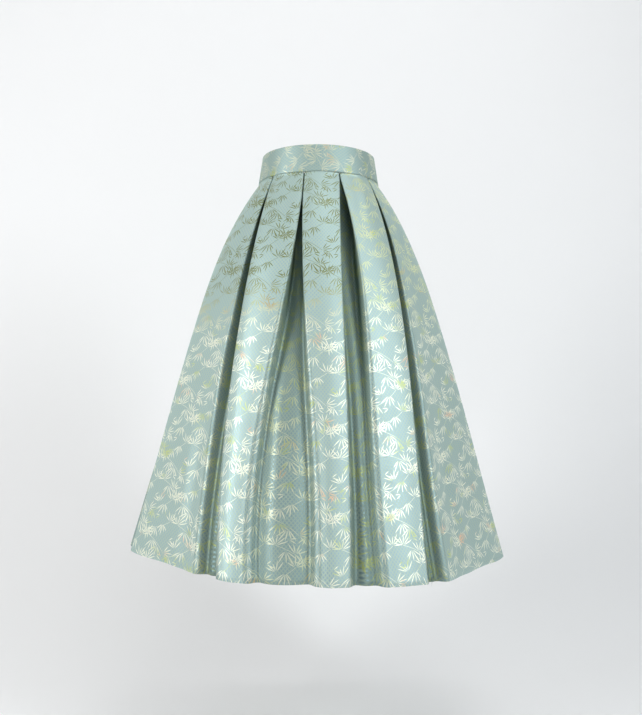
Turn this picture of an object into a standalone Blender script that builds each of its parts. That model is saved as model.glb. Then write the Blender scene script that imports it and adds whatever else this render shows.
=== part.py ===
"""A high-waisted mid-calf skirt of stiff jacquard, worn and hollow: waistband, pleated front and back, zip.

Metres, +Z up, the front faces -Y. The origin is the middle of the waist, at half the waistband's height.
A level is named by its drop, the distance below the waist seam.
"""

import math
from dataclasses import dataclass

import bmesh
import bpy
import numpy as np
from mathutils import Matrix, Vector

# Waistband
BAND_HEIGHT = 0.054
BAND_THICKNESS = 0.0025
BAND_TOP_HALF_WIDTH = 0.1115
BAND_TOP_HALF_DEPTH = 0.0940
BAND_FOOT_HALF_WIDTH = 0.1195
BAND_FOOT_HALF_DEPTH = 0.1000
BAND_SLIT = 0.0010
BAND_COLUMNS = 72
BAND_ROWS = 4

# Skirt
CLOTH_THICKNESS = 0.0010
SKIRT_LENGTH = 0.722
SEAM_GAP = 0.0003
SEAM_STRAIGHT = 0.0040  # the cloth leaves the waist seam straight down for this length
HEM_TILT = 0.030  # the worn hem hangs this much lower for each metre towards +X
LEVELS = 13
LEVEL_CROWDING = 1.30  # above 1 the levels crowd towards the waist, where the pleats open

# Half width and half depth of the body of the skirt: start, flare and a quick spread under the band
WIDTH_START, WIDTH_FLARE, WIDTH_SPREAD, WIDTH_SPREAD_DROP = 0.1198, 0.268, 0.0587, 0.125
DEPTH_START, DEPTH_FLARE, DEPTH_SPREAD, DEPTH_SPREAD_DROP = 0.0998, 0.235, 0.0452, 0.160

# The flank between the outer pleat and the side is drawn nearly straight
FLANK_HOLLOW = 0.092
FLANK_HOLLOW_DROP = 0.30
FLANK_CORNER_WAIST = math.radians(51.0)
FLANK_CORNER_HEM = math.radians(31.0)
FLANK_POWER = 1.5
FLANK_COLUMNS = (0.14, 0.30, 0.46, 0.62, 0.77, 0.90)

# A face swells by the crown at its middle. Its columns of points: share of its width, share of the crown
FACE_CROWN = 0.0022
FACE_COLUMNS = ((0.28, 0.8), (0.5, 1.0), (0.72, 0.8))
HALF_FACE_COLUMNS = ((0.0, 1.0), (0.55, 0.7))
ARC_STEPS = 181
TANGENT_REACH = 0.002  # the direction of the body's curve is taken over this length to each side

# Inverted pleats. From the edge of a face the cloth turns back, runs to an inner fold, turns again and
# runs to the pleat's middle. At the waist it turns half a circle, and is tucked flat under the face.
PLEAT_KEYS = (
    # share, edge turn and lift to the middle in degrees, length to the inner fold, edge and fold radius
    (0.00, 180.0, 0.0, 0.0240, 0.0015, 0.0015),
    (0.03, 174.0, 0.0, 0.0250, 0.0016, 0.0017),
    (0.10, 132.0, 0.0, 0.0290, 0.0019, 0.0026),
    (0.20, 104.0, 2.0, 0.0300, 0.0022, 0.0040),
    (0.35, 88.0, 10.0, 0.0240, 0.0027, 0.0055),
    (0.55, 74.0, 17.0, 0.0160, 0.0034, 0.0066),
    (0.80, 63.0, 20.0, 0.0125, 0.0042, 0.0074),
    (1.00, 57.0, 20.0, 0.0115, 0.0048, 0.0080),
)
TURN_STEPS = 3
CREST = 0.35  # the middle of a pleat is level over this share of the way to its inner fold
EDGE_CLEARANCE = 0.0012  # half the gap between the two faces of a shut pleat
SOFT_SHARE = 0.85  # the edges are at their softest from this share of the length down
WIDTH_SHARES = (0.0, 0.25, 0.5, 1.0)  # widths are stated at these shares of the length


@dataclass(frozen=True)
class Pleat:
    """One inverted pleat, shut at the waist."""

    opening: tuple  # width between its edges at a quarter and half of the length and at the hem
    depth: tuple  # scales the length from its edge to its inner fold: at the waist, at the hem
    soft: tuple  # how many times rounder its edges get by the hem: towards the middle, towards the side


# From the middle of the front or back to the side: half a face, a pleat, a face, a pleat, the flank, and
# half of the side pleat, which hides the side seam in its middle. Left and right are the wearer's.
INNER_PLEATS = {
    "front_left": Pleat(opening=(0.034, 0.041, 0.050), depth=(1.00, 1.00), soft=(1.2, 3.0)),
    "front_right": Pleat(opening=(0.021, 0.060, 0.094), depth=(1.05, 1.05), soft=(3.0, 3.5)),
    "back_left": Pleat(opening=(0.024, 0.044, 0.066), depth=(1.05, 1.05), soft=(2.4, 1.6)),
    "back_right": Pleat(opening=(0.022, 0.042, 0.060), depth=(1.00, 1.00), soft=(1.4, 3.0)),
}
OUTER_PLEATS = {
    "front_left": Pleat(opening=(0.017, 0.022, 0.034), depth=(0.95, 0.95), soft=(1.0, 3.0)),
    "front_right": Pleat(opening=(0.018, 0.030, 0.038), depth=(1.05, 1.10), soft=(2.8, 3.2)),
    "back_left": Pleat(opening=(0.014, 0.024, 0.036), depth=(1.00, 1.00), soft=(3.0, 1.8)),
    "back_right": Pleat(opening=(0.016, 0.026, 0.040), depth=(1.05, 1.05), soft=(2.2, 2.8)),
}
SIDE_PLEAT = Pleat(opening=(0.030, 0.058, 0.092), depth=(0.40, 1.00), soft=(2.5, 2.5))
# Widths of each quarter's half of the middle face, and of its outer face, at the stated shares
MIDDLE_HALF_FACES = {
    "front_left": (0.034, 0.030, 0.032, 0.031),
    "front_right": (0.034, 0.040, 0.035, 0.031),
    "back_left": (0.034, 0.034, 0.033, 0.031),
    "back_right": (0.034, 0.035, 0.033, 0.031),
}
OUTER_FACES = {
    "front_left": (0.068, 0.074, 0.080, 0.084),
    "front_right": (0.068, 0.082, 0.080, 0.070),
    "back_left": (0.068, 0.073, 0.077, 0.080),
    "back_right": (0.068, 0.074, 0.078, 0.082),
}
# Signs of X and Y for each quarter, which is worked out for the front on the wearer's left
QUARTER_SIGNS = {
    "front_left": (1, 1),
    "front_right": (-1, 1),
    "back_left": (1, -1),
    "back_right": (-1, -1),
}
FLUTES = {
    # soft flutes in the flank: angle from the middle and half width in degrees, depth at the hem, share of
    # the length where it starts
    "front_left": ((58.0, 13.0, 0.0045, 0.25), (78.0, 9.0, 0.0030, 0.45)),
    "front_right": ((52.0, 12.0, 0.0060, 0.30), (74.0, 10.0, 0.0040, 0.35)),
    "back_left": ((53.0, 10.0, 0.0120, 0.20), (72.0, 8.0, 0.0080, 0.35)),
    "back_right": ((60.0, 12.0, 0.0130, 0.25), (46.0, 7.0, 0.0060, 0.45)),
}

# Zip
SLIDER_SIZE = (0.0070, 0.0022, 0.0100)
SLIDER_ROUNDING = 0.0006
SLIDER_TOP_BELOW_BAND = 0.0030
SLIDER_GAP = 0.00036  # between the band and the slider's back
BAIL_RADIUS = 0.0005
BAIL_REACH = 0.0022
BAIL_ROOT = 0.0006  # how far the bail's ends are sunk in the slider
BAIL_HALF_SPAN = 0.0030
BAIL_POINTS = 9
BAIL_SQUARENESS = 0.6  # below 1 the bail's arch has squarer shoulders
PULL_WIDTH = 0.0062
PULL_NECK_WIDTH = 0.0042
PULL_LENGTH = 0.0220
PULL_THICKNESS = 0.0010
PULL_BAR = 0.0010
PULL_CORNER = 0.0004
PULL_EYE_LENGTH = 0.0042
PULL_EYE_WIDTH = 0.0020
PULL_PIVOT_OUT = 0.0009  # the pull's pivot stands this far out from the slider's face
PULL_ROUND_SIDES = 12

COLOURS = {
    "jacquard": (0.36, 0.52, 0.50, 1.0),
    "zip_metal": (0.55, 0.60, 0.58, 1.0),
}


def clear_scene():
    """Removes every object."""
    for obj in list(bpy.data.objects):
        bpy.data.objects.remove(obj, do_unlink=True)


def finish(name, roughness, metallic):
    """A plain material with the named colour."""
    material = bpy.data.materials.new(name)
    material.use_nodes = True
    shader = material.node_tree.nodes["Principled BSDF"]
    shader.inputs["Base Color"].default_value = COLOURS[name]
    shader.inputs["Roughness"].default_value = roughness
    shader.inputs["Metallic"].default_value = metallic
    return material


def spread(drop, start, flare, extra, extra_drop):
    """A half size at a drop below the waist seam: a straight flare and a quick spread under the band."""
    return start + flare * drop + extra * (1.0 - math.exp(-drop / extra_drop))


def half_width(drop):
    """Half the body's width at a drop below the waist seam."""
    return spread(drop, WIDTH_START, WIDTH_FLARE, WIDTH_SPREAD, WIDTH_SPREAD_DROP)


def half_depth(drop):
    """Half the body's depth at a drop below the waist seam."""
    return spread(drop, DEPTH_START, DEPTH_FLARE, DEPTH_SPREAD, DEPTH_SPREAD_DROP)


def ease(value):
    """Smooth step from 0 to 1."""
    value = np.clip(value, 0.0, 1.0)
    return value * value * (3.0 - 2.0 * value)


def pleat_keys(share):
    """Edge turn, lift, length to the inner fold, edge radius and fold radius at a share of the length."""
    rows = np.array(PLEAT_KEYS)
    turn, lift, run, edge, fold = (np.interp(share, rows[:, 0], rows[:, k]) for k in range(1, 6))
    return math.radians(turn), math.radians(lift), run, edge, fold


def quarter_curve(drop, quarter):
    """Arc lengths from the middle along the plain body of one quarter at a level, and its points."""
    share = drop / SKIRT_LENGTH
    angle = np.linspace(0.0, math.pi / 2, ARC_STEPS)
    radius = 1.0 / np.hypot(np.sin(angle) / half_width(drop), np.cos(angle) / half_depth(drop))
    corner = FLANK_CORNER_WAIST + (FLANK_CORNER_HEM - FLANK_CORNER_WAIST) * math.sqrt(share)
    along = np.clip((angle - corner) / (math.pi / 2 - corner), 0.0, 1.0)
    hollow = FLANK_HOLLOW * float(ease(drop / FLANK_HOLLOW_DROP))
    radius = radius * (1.0 - hollow * np.sin(math.pi * along) ** FLANK_POWER)
    for centre, half, depth, begins in FLUTES[quarter]:
        away = (np.degrees(angle) - centre) / half
        growth = float(ease((share - begins) / (1.0 - begins)))
        radius = radius - depth * growth * np.exp(-away * away) * np.sin(math.pi * along)
    points = np.stack([radius * np.sin(angle), -radius * np.cos(angle)], axis=1)
    steps = np.linalg.norm(np.diff(points, axis=0), axis=1)
    return np.concatenate([[0.0], np.cumsum(steps)]), points


def place(arc, depth, arcs, points):
    """The XY point of an arc length and a depth behind the plain body's curve."""
    steps = (0.0, TANGENT_REACH, -TANGENT_REACH)
    point, ahead, behind = (
        np.array([np.interp(arc + step, arcs, points[:, k]) for k in range(2)]) for step in steps
    )
    along = ahead - behind
    along = along / np.linalg.norm(along)
    inward = np.array([-along[1], along[0]])
    return point + inward * depth


def pleat_half(pleat, share, soft):
    """Half a pleat from the face to its middle, as (distance from the middle, depth)."""
    turn, lift, run, edge, fold = pleat_keys(share)
    grown = edge * (soft - 1.0) * float(ease(share / SOFT_SHARE))
    edge = edge + grown
    # a softer edge reaches further in by itself, so the straight run after it is shorter
    run = run * between(pleat.depth, share) - grown * math.tan(turn / 2)
    across, depth = max(opening_width(pleat, share) / 2, EDGE_CLEARANCE) + edge, 0.0
    points = [(across, depth)]
    for k in range(1, TURN_STEPS + 1):
        bent = turn * k / TURN_STEPS
        points.append((across - edge * math.sin(bent), edge * (1.0 - math.cos(bent))))
    across, depth = points[-1]
    across, depth = across - run * math.cos(turn), depth + run * math.sin(turn)
    points.append((across, depth))
    inward = math.sin(turn) + math.sin(lift)
    if fold * inward > across - EDGE_CLEARANCE:
        fold = (across - EDGE_CLEARANCE) / inward
    for k in range(1, TURN_STEPS + 1):
        bent = turn - (turn + lift) * k / TURN_STEPS
        nearer = fold * (math.sin(turn) - math.sin(bent))
        deeper = fold * (math.cos(bent) - math.cos(turn))
        points.append((across - nearer, depth + deeper))
    across, depth = points[-1]
    crest = depth - across * (1.0 - CREST) * math.tan(lift)
    return points + [(across * CREST, crest), (0.0, crest)]


def width_at(widths, share):
    """A width at a share of the length, on the smooth curve through the four stated ones."""
    return float(np.polyval(np.polyfit(WIDTH_SHARES, widths, 3), share))


def opening_width(pleat, share):
    """A pleat's opening at a share of the length."""
    return width_at((0.0, *pleat.opening), share)


def pleat_points(centre, pleat, share):
    """A whole pleat's points as (arc, depth), in the order that the section runs."""
    before, after = (pleat_half(pleat, share, soft) for soft in pleat.soft)
    middle = (before[-1][1] + after[-1][1]) / 2
    points = [(centre - across, depth) for across, depth in before[:-1]]
    points.append((centre, middle))
    return points + [(centre + across, depth) for across, depth in after[-2::-1]]


def between(ends, share):
    """The value at a share of the way from the first of two values to the second."""
    return ends[0] + (ends[1] - ends[0]) * share


def quarter_controls(drop, quarter, side_arc):
    """Points of one quarter's section from its middle to the side seam, as (arc, depth)."""
    share = drop / SKIRT_LENGTH
    inner, outer = INNER_PLEATS[quarter], OUTER_PLEATS[quarter]
    half_face = width_at(MIDDLE_HALF_FACES[quarter], share)
    controls = [(half_face * k, -FACE_CROWN * crown) for k, crown in HALF_FACE_COLUMNS]
    width = opening_width(inner, share)
    controls += pleat_points(half_face + width / 2, inner, share)
    face_start, face = half_face + width, width_at(OUTER_FACES[quarter], share)
    controls += [(face_start + face * k, -FACE_CROWN * crown) for k, crown in FACE_COLUMNS]
    width = opening_width(outer, share)
    flank_start = face_start + face + width
    controls += pleat_points(flank_start - width / 2, outer, share)
    side_half = pleat_half(SIDE_PLEAT, share, SIDE_PLEAT.soft[0])
    flank = side_arc - side_half[0][0] - flank_start
    controls += [(flank_start + flank * k, 0.0) for k in FLANK_COLUMNS]
    controls += [(side_arc - across, depth) for across, depth in side_half]
    return controls


def quarter_section(drop, quarter, middle_gap, side_gap):
    """The points of one quarter at a level, from the middle of the front or back to the side seam."""
    below = max(drop - SEAM_STRAIGHT, 0.0)
    arcs, curve = quarter_curve(below, quarter)
    controls = quarter_controls(below, quarter, arcs[-1])
    plane = np.array([place(arc, depth, arcs, curve) for arc, depth in controls])
    plane[0][0] = middle_gap
    plane[-1][1] = -side_gap
    sign_x, sign_y = QUARTER_SIGNS[quarter]
    x = plane[:, 0] * sign_x
    z = -BAND_HEIGHT / 2 - SEAM_GAP - drop - HEM_TILT * below / SKIRT_LENGTH * x
    return np.stack([x, plane[:, 1] * sign_y, z], axis=1)


def levels():
    """Drops from the waist seam to the hem."""
    length = SKIRT_LENGTH - SEAM_STRAIGHT
    below = [length * (k / (LEVELS - 2)) ** LEVEL_CROWDING for k in range(1, LEVELS - 1)]
    return [0.0, SEAM_STRAIGHT] + [SEAM_STRAIGHT + drop for drop in below]


def sheet_object(name, rows, material, thickness):
    """A wall: the rows of points joined as a sheet, thickened evenly to both sides by Solidify."""
    mesh = bpy.data.meshes.new(name)
    made = bmesh.new()
    grid = [[made.verts.new(Vector(point)) for point in row] for row in rows]
    for upper, lower in zip(grid, grid[1:]):
        for k in range(len(upper) - 1):
            made.faces.new((upper[k], lower[k], lower[k + 1], upper[k + 1]))
    made.to_mesh(mesh)
    made.free()
    obj = bpy.data.objects.new(name, mesh)
    PARTS.objects.link(obj)
    mesh.materials.append(material)
    mesh.shade_smooth()
    wall = obj.modifiers.new("cloth", "SOLIDIFY")
    wall.thickness = thickness
    wall.offset = 0.0
    wall.use_even_offset = True
    return obj


def skirt_front(material):
    """The front panel, from the wearer's right side seam to the left, with its four inverted pleats."""
    rows = []
    for drop in levels():
        right = quarter_section(drop, "front_right", 0.0, SEAM_GAP / 2)
        left = quarter_section(drop, "front_left", 0.0, SEAM_GAP / 2)
        rows.append(np.concatenate([right[::-1], left[1:]]))
    return sheet_object("skirt_front", rows, material, CLOTH_THICKNESS)


def skirt_back(quarter, material):
    """One back panel, from the zip to its side seam, with its two inverted pleats."""
    rows = [quarter_section(drop, quarter, BAND_SLIT / 2, SEAM_GAP / 2) for drop in levels()]
    if quarter == "back_left":
        rows = [row[::-1] for row in rows]
    return sheet_object("skirt_" + quarter, rows, material, CLOTH_THICKNESS)


def band_radius(share):
    """Half width and half depth of the middle of the band's wall, share 0 at its foot and 1 at its top."""
    width = between((BAND_FOOT_HALF_WIDTH, BAND_TOP_HALF_WIDTH), share)
    depth = between((BAND_FOOT_HALF_DEPTH, BAND_TOP_HALF_DEPTH), share)
    return width, depth


def waistband(material):
    """The waistband: one strip round the waist, its ends meeting at the zip in the middle of the back."""
    rows = []
    for k in range(BAND_ROWS + 1):
        share = 1.0 - k / BAND_ROWS
        width, depth = band_radius(share)
        slit = math.asin(BAND_SLIT / 2 / width)
        turn = np.linspace(slit, 2 * math.pi - slit, BAND_COLUMNS + 1) + math.pi
        x, y = width * np.sin(turn), -depth * np.cos(turn)
        z = np.full_like(x, BAND_HEIGHT * (share - 0.5))
        rows.append(np.stack([x, y, z], axis=1))
    return sheet_object("waistband", rows, material, BAND_THICKNESS)


def band_slope():
    """How far the band's back leans out for each metre down, as an angle."""
    return math.atan((BAND_FOOT_HALF_DEPTH - BAND_TOP_HALF_DEPTH) / BAND_HEIGHT)


def zip_frame():
    """An empty at the slider's foot on the band's back, its local Y out of the cloth and Z up the band."""
    centre = BAND_HEIGHT / 2 - SLIDER_TOP_BELOW_BAND - SLIDER_SIZE[2] / 2
    share = centre / BAND_HEIGHT + 0.5
    frame = bpy.data.objects.new("zip_place", None)
    PARTS.objects.link(frame)
    out = band_radius(share)[1] + BAND_THICKNESS / 2 / math.cos(band_slope()) + SLIDER_GAP
    frame.location = (0.0, out, centre)
    frame.rotation_euler = (band_slope(), 0.0, 0.0)
    return frame


def mesh_of_curve(obj):
    """Turns a curve into a mesh with its caps welded, so that a Boolean can take it."""
    graph = bpy.context.evaluated_depsgraph_get()
    mesh = bpy.data.meshes.new_from_object(obj.evaluated_get(graph))
    made = bmesh.new()
    made.from_mesh(mesh)
    bmesh.ops.remove_doubles(made, verts=made.verts, dist=1e-5)
    made.to_mesh(mesh)
    made.free()
    solid = bpy.data.objects.new(obj.name + "_solid", mesh)
    solid.parent = obj.parent
    solid.matrix_local = obj.matrix_local.copy()
    bpy.data.objects.remove(obj, do_unlink=True)
    return solid


def zip_slider(frame, material):
    """The slider: a rounded body with the bail that holds the pull."""
    bpy.ops.mesh.primitive_cube_add(size=1.0)
    body = bpy.context.object
    body.name = "zip_slider"
    body.data.transform(Matrix.Diagonal((*SLIDER_SIZE, 1.0)))
    move_to(body, PARTS)
    body.parent = frame
    body.location = (0.0, SLIDER_SIZE[1] / 2, 0.0)
    body.data.materials.append(material)
    rounding = body.modifiers.new("rounding", "BEVEL")
    rounding.width = SLIDER_ROUNDING
    rounding.segments = 2
    curve = bpy.data.curves.new("bail", "CURVE")
    curve.dimensions = "3D"
    curve.bevel_depth = BAIL_RADIUS
    curve.bevel_resolution = 2
    curve.use_fill_caps = True
    line = curve.splines.new("POLY")
    line.points.add(BAIL_POINTS - 1)
    for k in range(BAIL_POINTS):
        turn = math.pi * k / (BAIL_POINTS - 1)
        rise = (BAIL_REACH + BAIL_ROOT) * math.sin(turn) ** BAIL_SQUARENESS
        line.points[k].co = (0.0, SLIDER_SIZE[1] - BAIL_ROOT + rise, BAIL_HALF_SPAN * math.cos(turn), 1.0)
    bail = bpy.data.objects.new("bail", curve)
    CUTTERS.objects.link(bail)
    bail.parent = frame
    bpy.context.view_layer.update()
    bail = mesh_of_curve(bail)
    CUTTERS.objects.link(bail)
    hide(bail)
    join = body.modifiers.new("bail", "BOOLEAN")
    join.operation = "UNION"
    join.object = bail
    return body


def move_to(obj, collection):
    """Takes an object out of the collections it is in and puts it in another."""
    for home in list(obj.users_collection):
        home.objects.unlink(obj)
    collection.objects.link(obj)


def hide(obj):
    """Marks an object as a cutter or a guide."""
    obj.hide_render = True
    obj.display_type = "WIRE"


def outline(points, curve):
    """Adds a closed outline to a flat curve."""
    line = curve.splines.new("POLY")
    line.points.add(len(points) - 1)
    for k, (x, z) in enumerate(points):
        line.points[k].co = (x, z, 0.0, 1.0)
    line.use_cyclic_u = True


def zip_pull(frame, material):
    """The pull tab: a flat drop with an eye, its bar held in the slider's bail, resting on the band."""
    curve = bpy.data.curves.new("zip_pull", "CURVE")
    curve.dimensions = "2D"
    curve.fill_mode = "BOTH"
    curve.extrude = PULL_THICKNESS / 2
    neck, wide = PULL_NECK_WIDTH / 2, PULL_WIDTH / 2
    foot = -(PULL_LENGTH - wide)
    arc = [math.pi * k / PULL_ROUND_SIDES for k in range(PULL_ROUND_SIDES + 1)]
    drop = [(wide * math.cos(turn), foot - wide * math.sin(turn)) for turn in arc]
    top, corner = PULL_BAR / 2, neck - PULL_CORNER
    crown = [(-neck, 0.0), (-corner, top), (corner, top), (neck, 0.0)]
    outline(drop + crown, curve)
    eye_top, eye_foot, eye = -PULL_BAR / 2, -PULL_BAR / 2 - PULL_EYE_LENGTH, PULL_EYE_WIDTH / 2
    outline([(-eye, eye_top), (eye, eye_top), (eye, eye_foot), (-eye, eye_foot)], curve)
    flat = bpy.data.objects.new("zip_pull", curve)
    PARTS.objects.link(flat)
    flat.parent = frame
    flat.location = (0.0, SLIDER_SIZE[1] + PULL_PIVOT_OUT, 0.0)
    flat.rotation_euler = (math.pi / 2, 0.0, 0.0)
    bpy.context.view_layer.update()
    curve.materials.append(material)
    return flat


def main():
    clear_scene()
    cloth = finish("jacquard", 0.45, 0.0)
    metal = finish("zip_metal", 0.30, 1.0)
    waistband(cloth)
    skirt_front(cloth)
    skirt_back("back_right", cloth)
    skirt_back("back_left", cloth)
    frame = zip_frame()
    zip_slider(frame, metal)
    zip_pull(frame, metal)


PARTS = bpy.data.collections.new("jacquard_skirt")
CUTTERS = bpy.data.collections.new("cutters")
bpy.context.scene.collection.children.link(PARTS)
bpy.context.scene.collection.children.link(CUTTERS)
main()
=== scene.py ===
"""The looks of a high-waisted, pleated skirt of stiff jacquard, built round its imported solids.

Metres, +Z up, the front faces -Y. Left and right are the wearer's, and +X is the wearer's left.
A level is named by its drop, the distance below the waist seam.
"""

import logging
import math
from dataclasses import dataclass
from enum import Enum
from typing import Callable

import bmesh
import bpy
import numpy as np
from mathutils import Matrix, Vector


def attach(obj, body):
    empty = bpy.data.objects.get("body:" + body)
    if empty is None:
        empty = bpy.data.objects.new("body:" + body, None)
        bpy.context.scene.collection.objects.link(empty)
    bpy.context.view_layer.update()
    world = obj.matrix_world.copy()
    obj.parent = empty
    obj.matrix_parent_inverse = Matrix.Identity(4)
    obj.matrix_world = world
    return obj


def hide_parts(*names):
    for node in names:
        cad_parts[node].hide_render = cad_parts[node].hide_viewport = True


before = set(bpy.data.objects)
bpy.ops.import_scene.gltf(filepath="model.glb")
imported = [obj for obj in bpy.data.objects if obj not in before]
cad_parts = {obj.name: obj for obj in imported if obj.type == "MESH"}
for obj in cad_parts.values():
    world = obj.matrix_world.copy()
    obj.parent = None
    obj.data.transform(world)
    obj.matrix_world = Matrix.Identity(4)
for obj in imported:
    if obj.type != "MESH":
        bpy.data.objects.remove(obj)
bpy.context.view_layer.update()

CUT = "cut"  # the attribute that holds where a point lies in the flat cut, in metres
PAINTED_SHADE_AND_LEVEL = "fold"  # the attribute that holds how much shade is painted on a point, from 0 to 1, and its share of the length, which sets the painted shade on the leaves above
SEAM_GAP = 0.0003
SKIRT_LENGTH = 0.722
ROLL_TURNS = (math.pi / 3, 2 * math.pi / 3, math.pi)  # the turns of a rolled edge, until it runs back
NARROWEST = 0.25  # the least share of its formed width that a step between columns keeps in the cut
FACES_OUT = 0.9  # the normal's Y, beyond which a face of the hard pieces counts as facing out
SATIN_STEP, SATIN_ENDS = 2.0, 5.0  # threads that the weave's ties step by, out of how many
DRIFT_SCALE = 0.12  # the scale of the enamel's drift in tone, as a share of the grain's

log = logging.getLogger("skirt")


class Facing(Enum):
    """Which way a quarter of the skirt faces, as the sign that turns the worked-out front to it."""

    FRONT = 1
    BACK = -1


class Hand(Enum):
    """The wearer's left or right, as the sign of X."""

    LEFT = 1
    RIGHT = -1


def ease(value: np.ndarray | float) -> np.ndarray | float:
    """Smooth step from 0 to 1."""
    value = np.clip(value, 0.0, 1.0)
    return value * value * (3.0 - 2.0 * value)


def between(ends: tuple[float, float], share: float) -> float:
    """The value at a share of the way from the first of two values to the second."""
    return ends[0] + (ends[1] - ends[0]) * share


def run_along(points: np.ndarray) -> np.ndarray:
    """How far each point of a line is from its first one, along the line."""
    return np.concatenate([[0.0], np.cumsum(np.linalg.norm(np.diff(points, axis=0), axis=1))])


def smooth_read(at: float, places: np.ndarray, values: np.ndarray) -> float:
    """Reads a table on a smooth curve through its rows.

    Args:
        at: where to read.
        places: the rows' places, rising.
        values: the rows' values.

    Returns:
        The value at that place, on a cubic with the mean slope of the neighbouring stretches at each row.
    """
    slopes = np.gradient(values, places)
    k = int(np.clip(np.searchsorted(places, at) - 1, 0, len(places) - 2))
    step = places[k + 1] - places[k]
    t = (at - places[k]) / step
    start = (1 + 2 * t) * (1 - t) ** 2 * values[k] + t * (1 - t) ** 2 * step * slopes[k]
    end = t * t * (3 - 2 * t) * values[k + 1] + t * t * (t - 1) * step * slopes[k + 1]
    return float(start + end)


@dataclass(frozen=True)
class Spread:
    """Half a width or depth of the skirt's body: a straight flare and a quick spread under the band."""

    start: float
    flare: float
    extra: float
    extra_drop: float

    def at(self, drop: float) -> float:
        """The half size at a drop."""
        return self.start + self.flare * drop + self.extra * (1.0 - math.exp(-drop / self.extra_drop))


def width_at(widths: tuple[float, ...], share: float) -> float:
    """A width at a share of the length, on the smooth curve through those at 0, 0.25, 0.5 and 1."""
    return float(np.polyval(np.polyfit((0.0, 0.25, 0.5, 1.0), widths, 3), share))


@dataclass(frozen=True)
class Pleat:
    """One inverted pleat, shut at the waist.

    opening is the width between its edges at a quarter and half of the length and at the hem, depth scales
    the length from its edge to its inner fold at the waist and at the hem, and soft says how many times
    rounder its edges get by the hem: the edge towards the middle of the garment, then towards the side.
    """

    opening: tuple[float, float, float]
    depth: tuple[float, float]
    soft: tuple[float, float]

    def width(self, share: float) -> float:
        """The opening at a share of the length."""
        return width_at((0.0, *self.opening), share)


@dataclass(frozen=True)
class Flute:
    """A soft flute in the flank, by its angle from the middle."""

    angle: float
    half_width: float
    depth: float
    begins: float


@dataclass(frozen=True)
class Crease:
    """A soft trough, or a ridge where its depth is below nothing.

    arc is its distance from the middle at its top, measured along the plain body, lean is how much farther
    from the middle its foot lies, and top and foot are drops. Its width is from crest to crest.
    """

    arc: float
    top: float
    foot: float
    lean: float
    width: float
    depth: float
    fade_power: float = 0.8
    shoulder: float = 0.35

    def offset(self, arcs: np.ndarray, drop: float) -> np.ndarray:
        """How far the cloth is pushed in at each arc of a level."""
        along = (drop - self.top) / (self.foot - self.top)
        if not 0.0 < along < 1.0:
            return np.zeros_like(arcs)
        line = self.arc + self.lean * along
        away = (arcs - line) / (self.width / 2)
        fade = math.sin(math.pi * along) ** self.fade_power
        return self.depth * fade * np.exp(-away * away) * (1.0 - self.shoulder * away * away)


@dataclass(frozen=True)
class Quarter:
    """One quarter of the skirt, from the middle of the front or back to the side seam.

    half_face is its half of the middle face, and both faces give their widths at 0, 0.25, 0.5 and 1.
    """

    facing: Facing
    hand: Hand
    inner: Pleat
    outer: Pleat
    half_face: tuple[float, float, float, float]
    outer_face: tuple[float, float, float, float]
    flutes: tuple[Flute, ...]
    creases: tuple[Crease, ...]


FRONT_LEFT = Quarter(
    facing=Facing.FRONT,
    hand=Hand.LEFT,
    inner=Pleat(opening=(0.034, 0.041, 0.050), depth=(1.00, 1.00), soft=(1.2, 3.0)),
    outer=Pleat(opening=(0.017, 0.022, 0.034), depth=(0.95, 0.95), soft=(1.0, 3.0)),
    half_face=(0.034, 0.030, 0.032, 0.031),
    outer_face=(0.068, 0.074, 0.080, 0.084),
    flutes=(Flute(58.0, 13.0, 0.0045, 0.25), Flute(78.0, 9.0, 0.0030, 0.45)),
    creases=(
        Crease(0.000, -0.030, 0.100, 0.002, 0.022, 0.0007),
        Crease(0.056, -0.020, 0.130, 0.020, 0.020, 0.0009),
        Crease(0.076, -0.015, 0.090, 0.010, 0.014, -0.0007),
        Crease(0.108, 0.220, 0.560, 0.022, 0.040, 0.0016),
        Crease(0.150, 0.020, 0.240, 0.050, 0.030, 0.0014),
        Crease(0.215, 0.420, 0.760, 0.050, 0.056, 0.0034),
        Crease(0.275, 0.500, 0.735, 0.010, 0.050, -0.0030),
        Crease(0.240, 0.560, 0.700, 0.060, 0.026, 0.0022),
    ),
)
FRONT_RIGHT = Quarter(
    facing=Facing.FRONT,
    hand=Hand.RIGHT,
    inner=Pleat(opening=(0.021, 0.060, 0.094), depth=(1.05, 1.05), soft=(3.0, 3.5)),
    outer=Pleat(opening=(0.018, 0.030, 0.038), depth=(1.05, 1.10), soft=(2.8, 3.2)),
    half_face=(0.034, 0.040, 0.035, 0.031),
    outer_face=(0.068, 0.082, 0.080, 0.070),
    flutes=(Flute(52.0, 12.0, 0.0060, 0.30), Flute(74.0, 10.0, 0.0040, 0.35)),
    creases=(
        Crease(0.018, -0.020, 0.150, 0.006, 0.018, -0.0006),
        Crease(0.060, -0.020, 0.160, 0.016, 0.020, 0.0010),
        Crease(0.080, -0.015, 0.120, 0.022, 0.016, -0.0009),
        Crease(0.020, 0.330, 0.740, -0.004, 0.030, 0.0012),
        Crease(0.085, 0.330, 0.760, 0.018, 0.034, -0.0042),
        Crease(0.160, 0.060, 0.330, 0.060, 0.034, 0.0020),
        Crease(0.235, 0.380, 0.760, 0.055, 0.060, 0.0038),
        Crease(0.290, 0.460, 0.745, 0.020, 0.050, -0.0032),
    ),
)
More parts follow.
